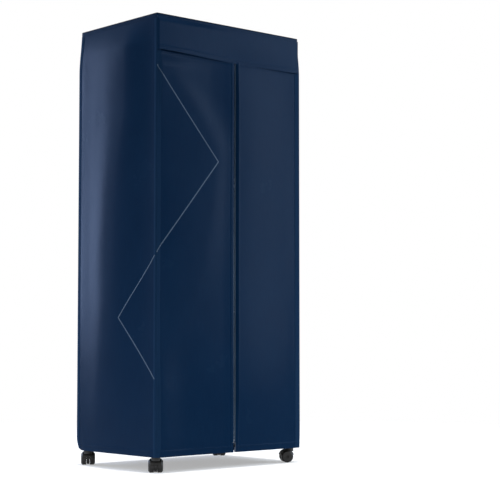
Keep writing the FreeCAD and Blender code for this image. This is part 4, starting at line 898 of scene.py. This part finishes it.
def add_wire(path, closed):
    """One four-sided wire along a path on the screen's round wall."""
    out = unit(path * (1, 1, 0))
    ahead = np.roll(path, -1, 0) - np.roll(path, 1, 0) if closed else np.gradient(path, axis=0)
    beside = unit(np.cross(ahead, out))
    first = len(screen_points)
    ring = [path + out * WIRE, path + beside * WIRE, path - out * WIRE, path - beside * WIRE]
    screen_points.extend(np.stack(ring, 1).reshape(-1, 3))
    for face in tube_faces(len(path), WIRE_SIDES, closed):
        screen_faces.append(tuple(first + corner for corner in face))


z = np.linspace(CAGE_Z[0], CAGE_Z[-1], 9)
radius = np.interp(z, CAGE_Z, CAGE_RADIUS)
for turn in np.linspace(0, 2 * math.pi, UPRIGHT_WIRES, endpoint=False):
    add_wire(np.stack([radius * math.cos(turn), radius * math.sin(turn), z], 1), False)
around = np.linspace(0, 2 * math.pi, 72, endpoint=False)
for level in np.linspace(CAGE_Z[0] + 0.001, CAGE_Z[-1] - 0.001, HOOPS):
    radius = np.interp(level, CAGE_Z, CAGE_RADIUS) - WIRE
    hoop = [radius * np.cos(around), radius * np.sin(around), np.full(len(around), level)]
    add_wire(np.stack(hoop, 1), True)
screen = mesh_piece("outlet_screen", np.array(screen_points), screen_faces, LOOKS["heater_black"])
dress(screen, "heater", "heater_black")

# Stage

BACKGROUND = 1.0
SKY_LIGHT = 0.42
FLOOR_WIDE = 60
FLOOR_GLOW = 0.385
FLOOR_SHADE = 0.62
FADE_START = 1.2  # from here on the floor turns into plain background
FADE_END = 3.0
WHITE = (1, 1, 1, 1)


def shown_rays(tree):
    """1 on the rays that show a surface, straight, mirrored or through glass, and 0 on those that light."""
    path = node(tree, "ShaderNodeLightPath")
    seen = math_node(tree, "MAXIMUM", path.outputs["Is Camera Ray"], path.outputs["Is Glossy Ray"])
    return math_node(tree, "MAXIMUM", seen, path.outputs["Is Transmission Ray"])


world = bpy.data.worlds.new("studio")
bpy.context.scene.world = world
world.use_nodes = True
tree = world.node_tree
tree.nodes.clear()
strength = spread(tree, shown_rays(tree), SKY_LIGHT, BACKGROUND)
sky = node(tree, "ShaderNodeBackground", {"Color": WHITE, "Strength": strength})
node(tree, "ShaderNodeOutputWorld", {"Surface": sky.outputs[0]})

bpy.ops.mesh.primitive_plane_add(size=FLOOR_WIDE, location=(0, 0, 0))
floor = bpy.context.object
floor.name = "studio_floor"
paper = bpy.data.materials.new("studio_floor_white")
paper.use_nodes = True
tree = paper.node_tree
tree.nodes.clear()
where = node(tree, "ShaderNodeTexCoord").outputs["Object"]
far = node(tree, "ShaderNodeVectorMath", {0: where}, operation="LENGTH").outputs["Value"]
feeds = {"Value": far, "From Min": FADE_START, "From Max": FADE_END}
fade = node(tree, "ShaderNodeMapRange", feeds, interpolation_type="SMOOTHSTEP").outputs["Result"]
glow_level = math_node(tree, "MULTIPLY", spread(tree, fade, FLOOR_GLOW, BACKGROUND), shown_rays(tree))
shade = ramp(tree, fade, [(0.0, (FLOOR_SHADE,) * 3), (1.0, (0.0, 0.0, 0.0))])
matt = node(tree, "ShaderNodeBsdfDiffuse", {"Color": shade})
shine = node(tree, "ShaderNodeEmission", {"Color": WHITE, "Strength": glow_level})
both = node(tree, "ShaderNodeAddShader", {0: matt.outputs[0], 1: shine.outputs[0]})
node(tree, "ShaderNodeOutputMaterial", {"Surface": both.outputs[0]})
floor.data.materials.append(paper)


def softbox(name, spot, aim, wide, tall, power, shade):
    """A rectangular lamp at a spot, turned toward its aim and hidden from the camera."""
    lamp = bpy.data.lights.new(name, "AREA")
    lamp.shape = "RECTANGLE"
    lamp.size = wide
    lamp.size_y = tall
    lamp.energy = power
    lamp.color = shade
    made = bpy.data.objects.new(name, lamp)
    bpy.context.scene.collection.objects.link(made)
    made.location = spot
    x, y, z = np.array(aim, float) - np.array(spot, float)
    made.rotation_euler = (math.atan2(math.hypot(x, y), -z), 0, math.atan2(y, x) - math.pi / 2)
    made.visible_camera = False


softbox("rim_left", (-1.54, 3.5, 1.55), (-0.36, 0.1, 1.0), 0.86, 2.5, 72, (0.46, 0.62, 1.0))
softbox("fill_left", (-4.6, -0.9, 1.7), (-0.36, 0.0, 0.9), 2.0, 2.2, 60, (0.85, 0.92, 1.0))
softbox("key_right", (2.7, -2.1, 1.5), (0.1, -0.25, 0.95), 1.3, 2.4, 68, (0.74, 0.86, 1.0))
softbox("key_high", (2.24, -2.74, 2.66), (0.0, -0.25, 1.62), 0.9, 0.5, 10, (0.74, 0.86, 1.0))
overhead = bpy.data.lights.new("overhead", "SUN")
overhead.energy = 2.7
overhead.angle = math.radians(3)
overhead_lamp = bpy.data.objects.new("overhead", overhead)
bpy.context.scene.collection.objects.link(overhead_lamp)
overhead_lamp.location = (0, 0, 4)

# Camera

PHOTO_FOCAL = 1419.1  # focal length of the photo, in its pixels
PHOTO_WIDE = 500
SENSOR = 36

view = bpy.data.cameras.new("photo_camera")
view.sensor_fit = "HORIZONTAL"
view.sensor_width = SENSOR
view.lens = PHOTO_FOCAL / PHOTO_WIDE * SENSOR
camera = bpy.data.objects.new("photo_camera", view)
bpy.context.scene.collection.objects.link(camera)
camera.location = (-3.559, -4.3632, 0.5018)
camera.rotation_euler = (math.pi / 2 + 0.0603, 0, -0.7264)
bpy.context.scene.camera = camera
bpy.context.scene.view_settings.view_transform = "Standard"
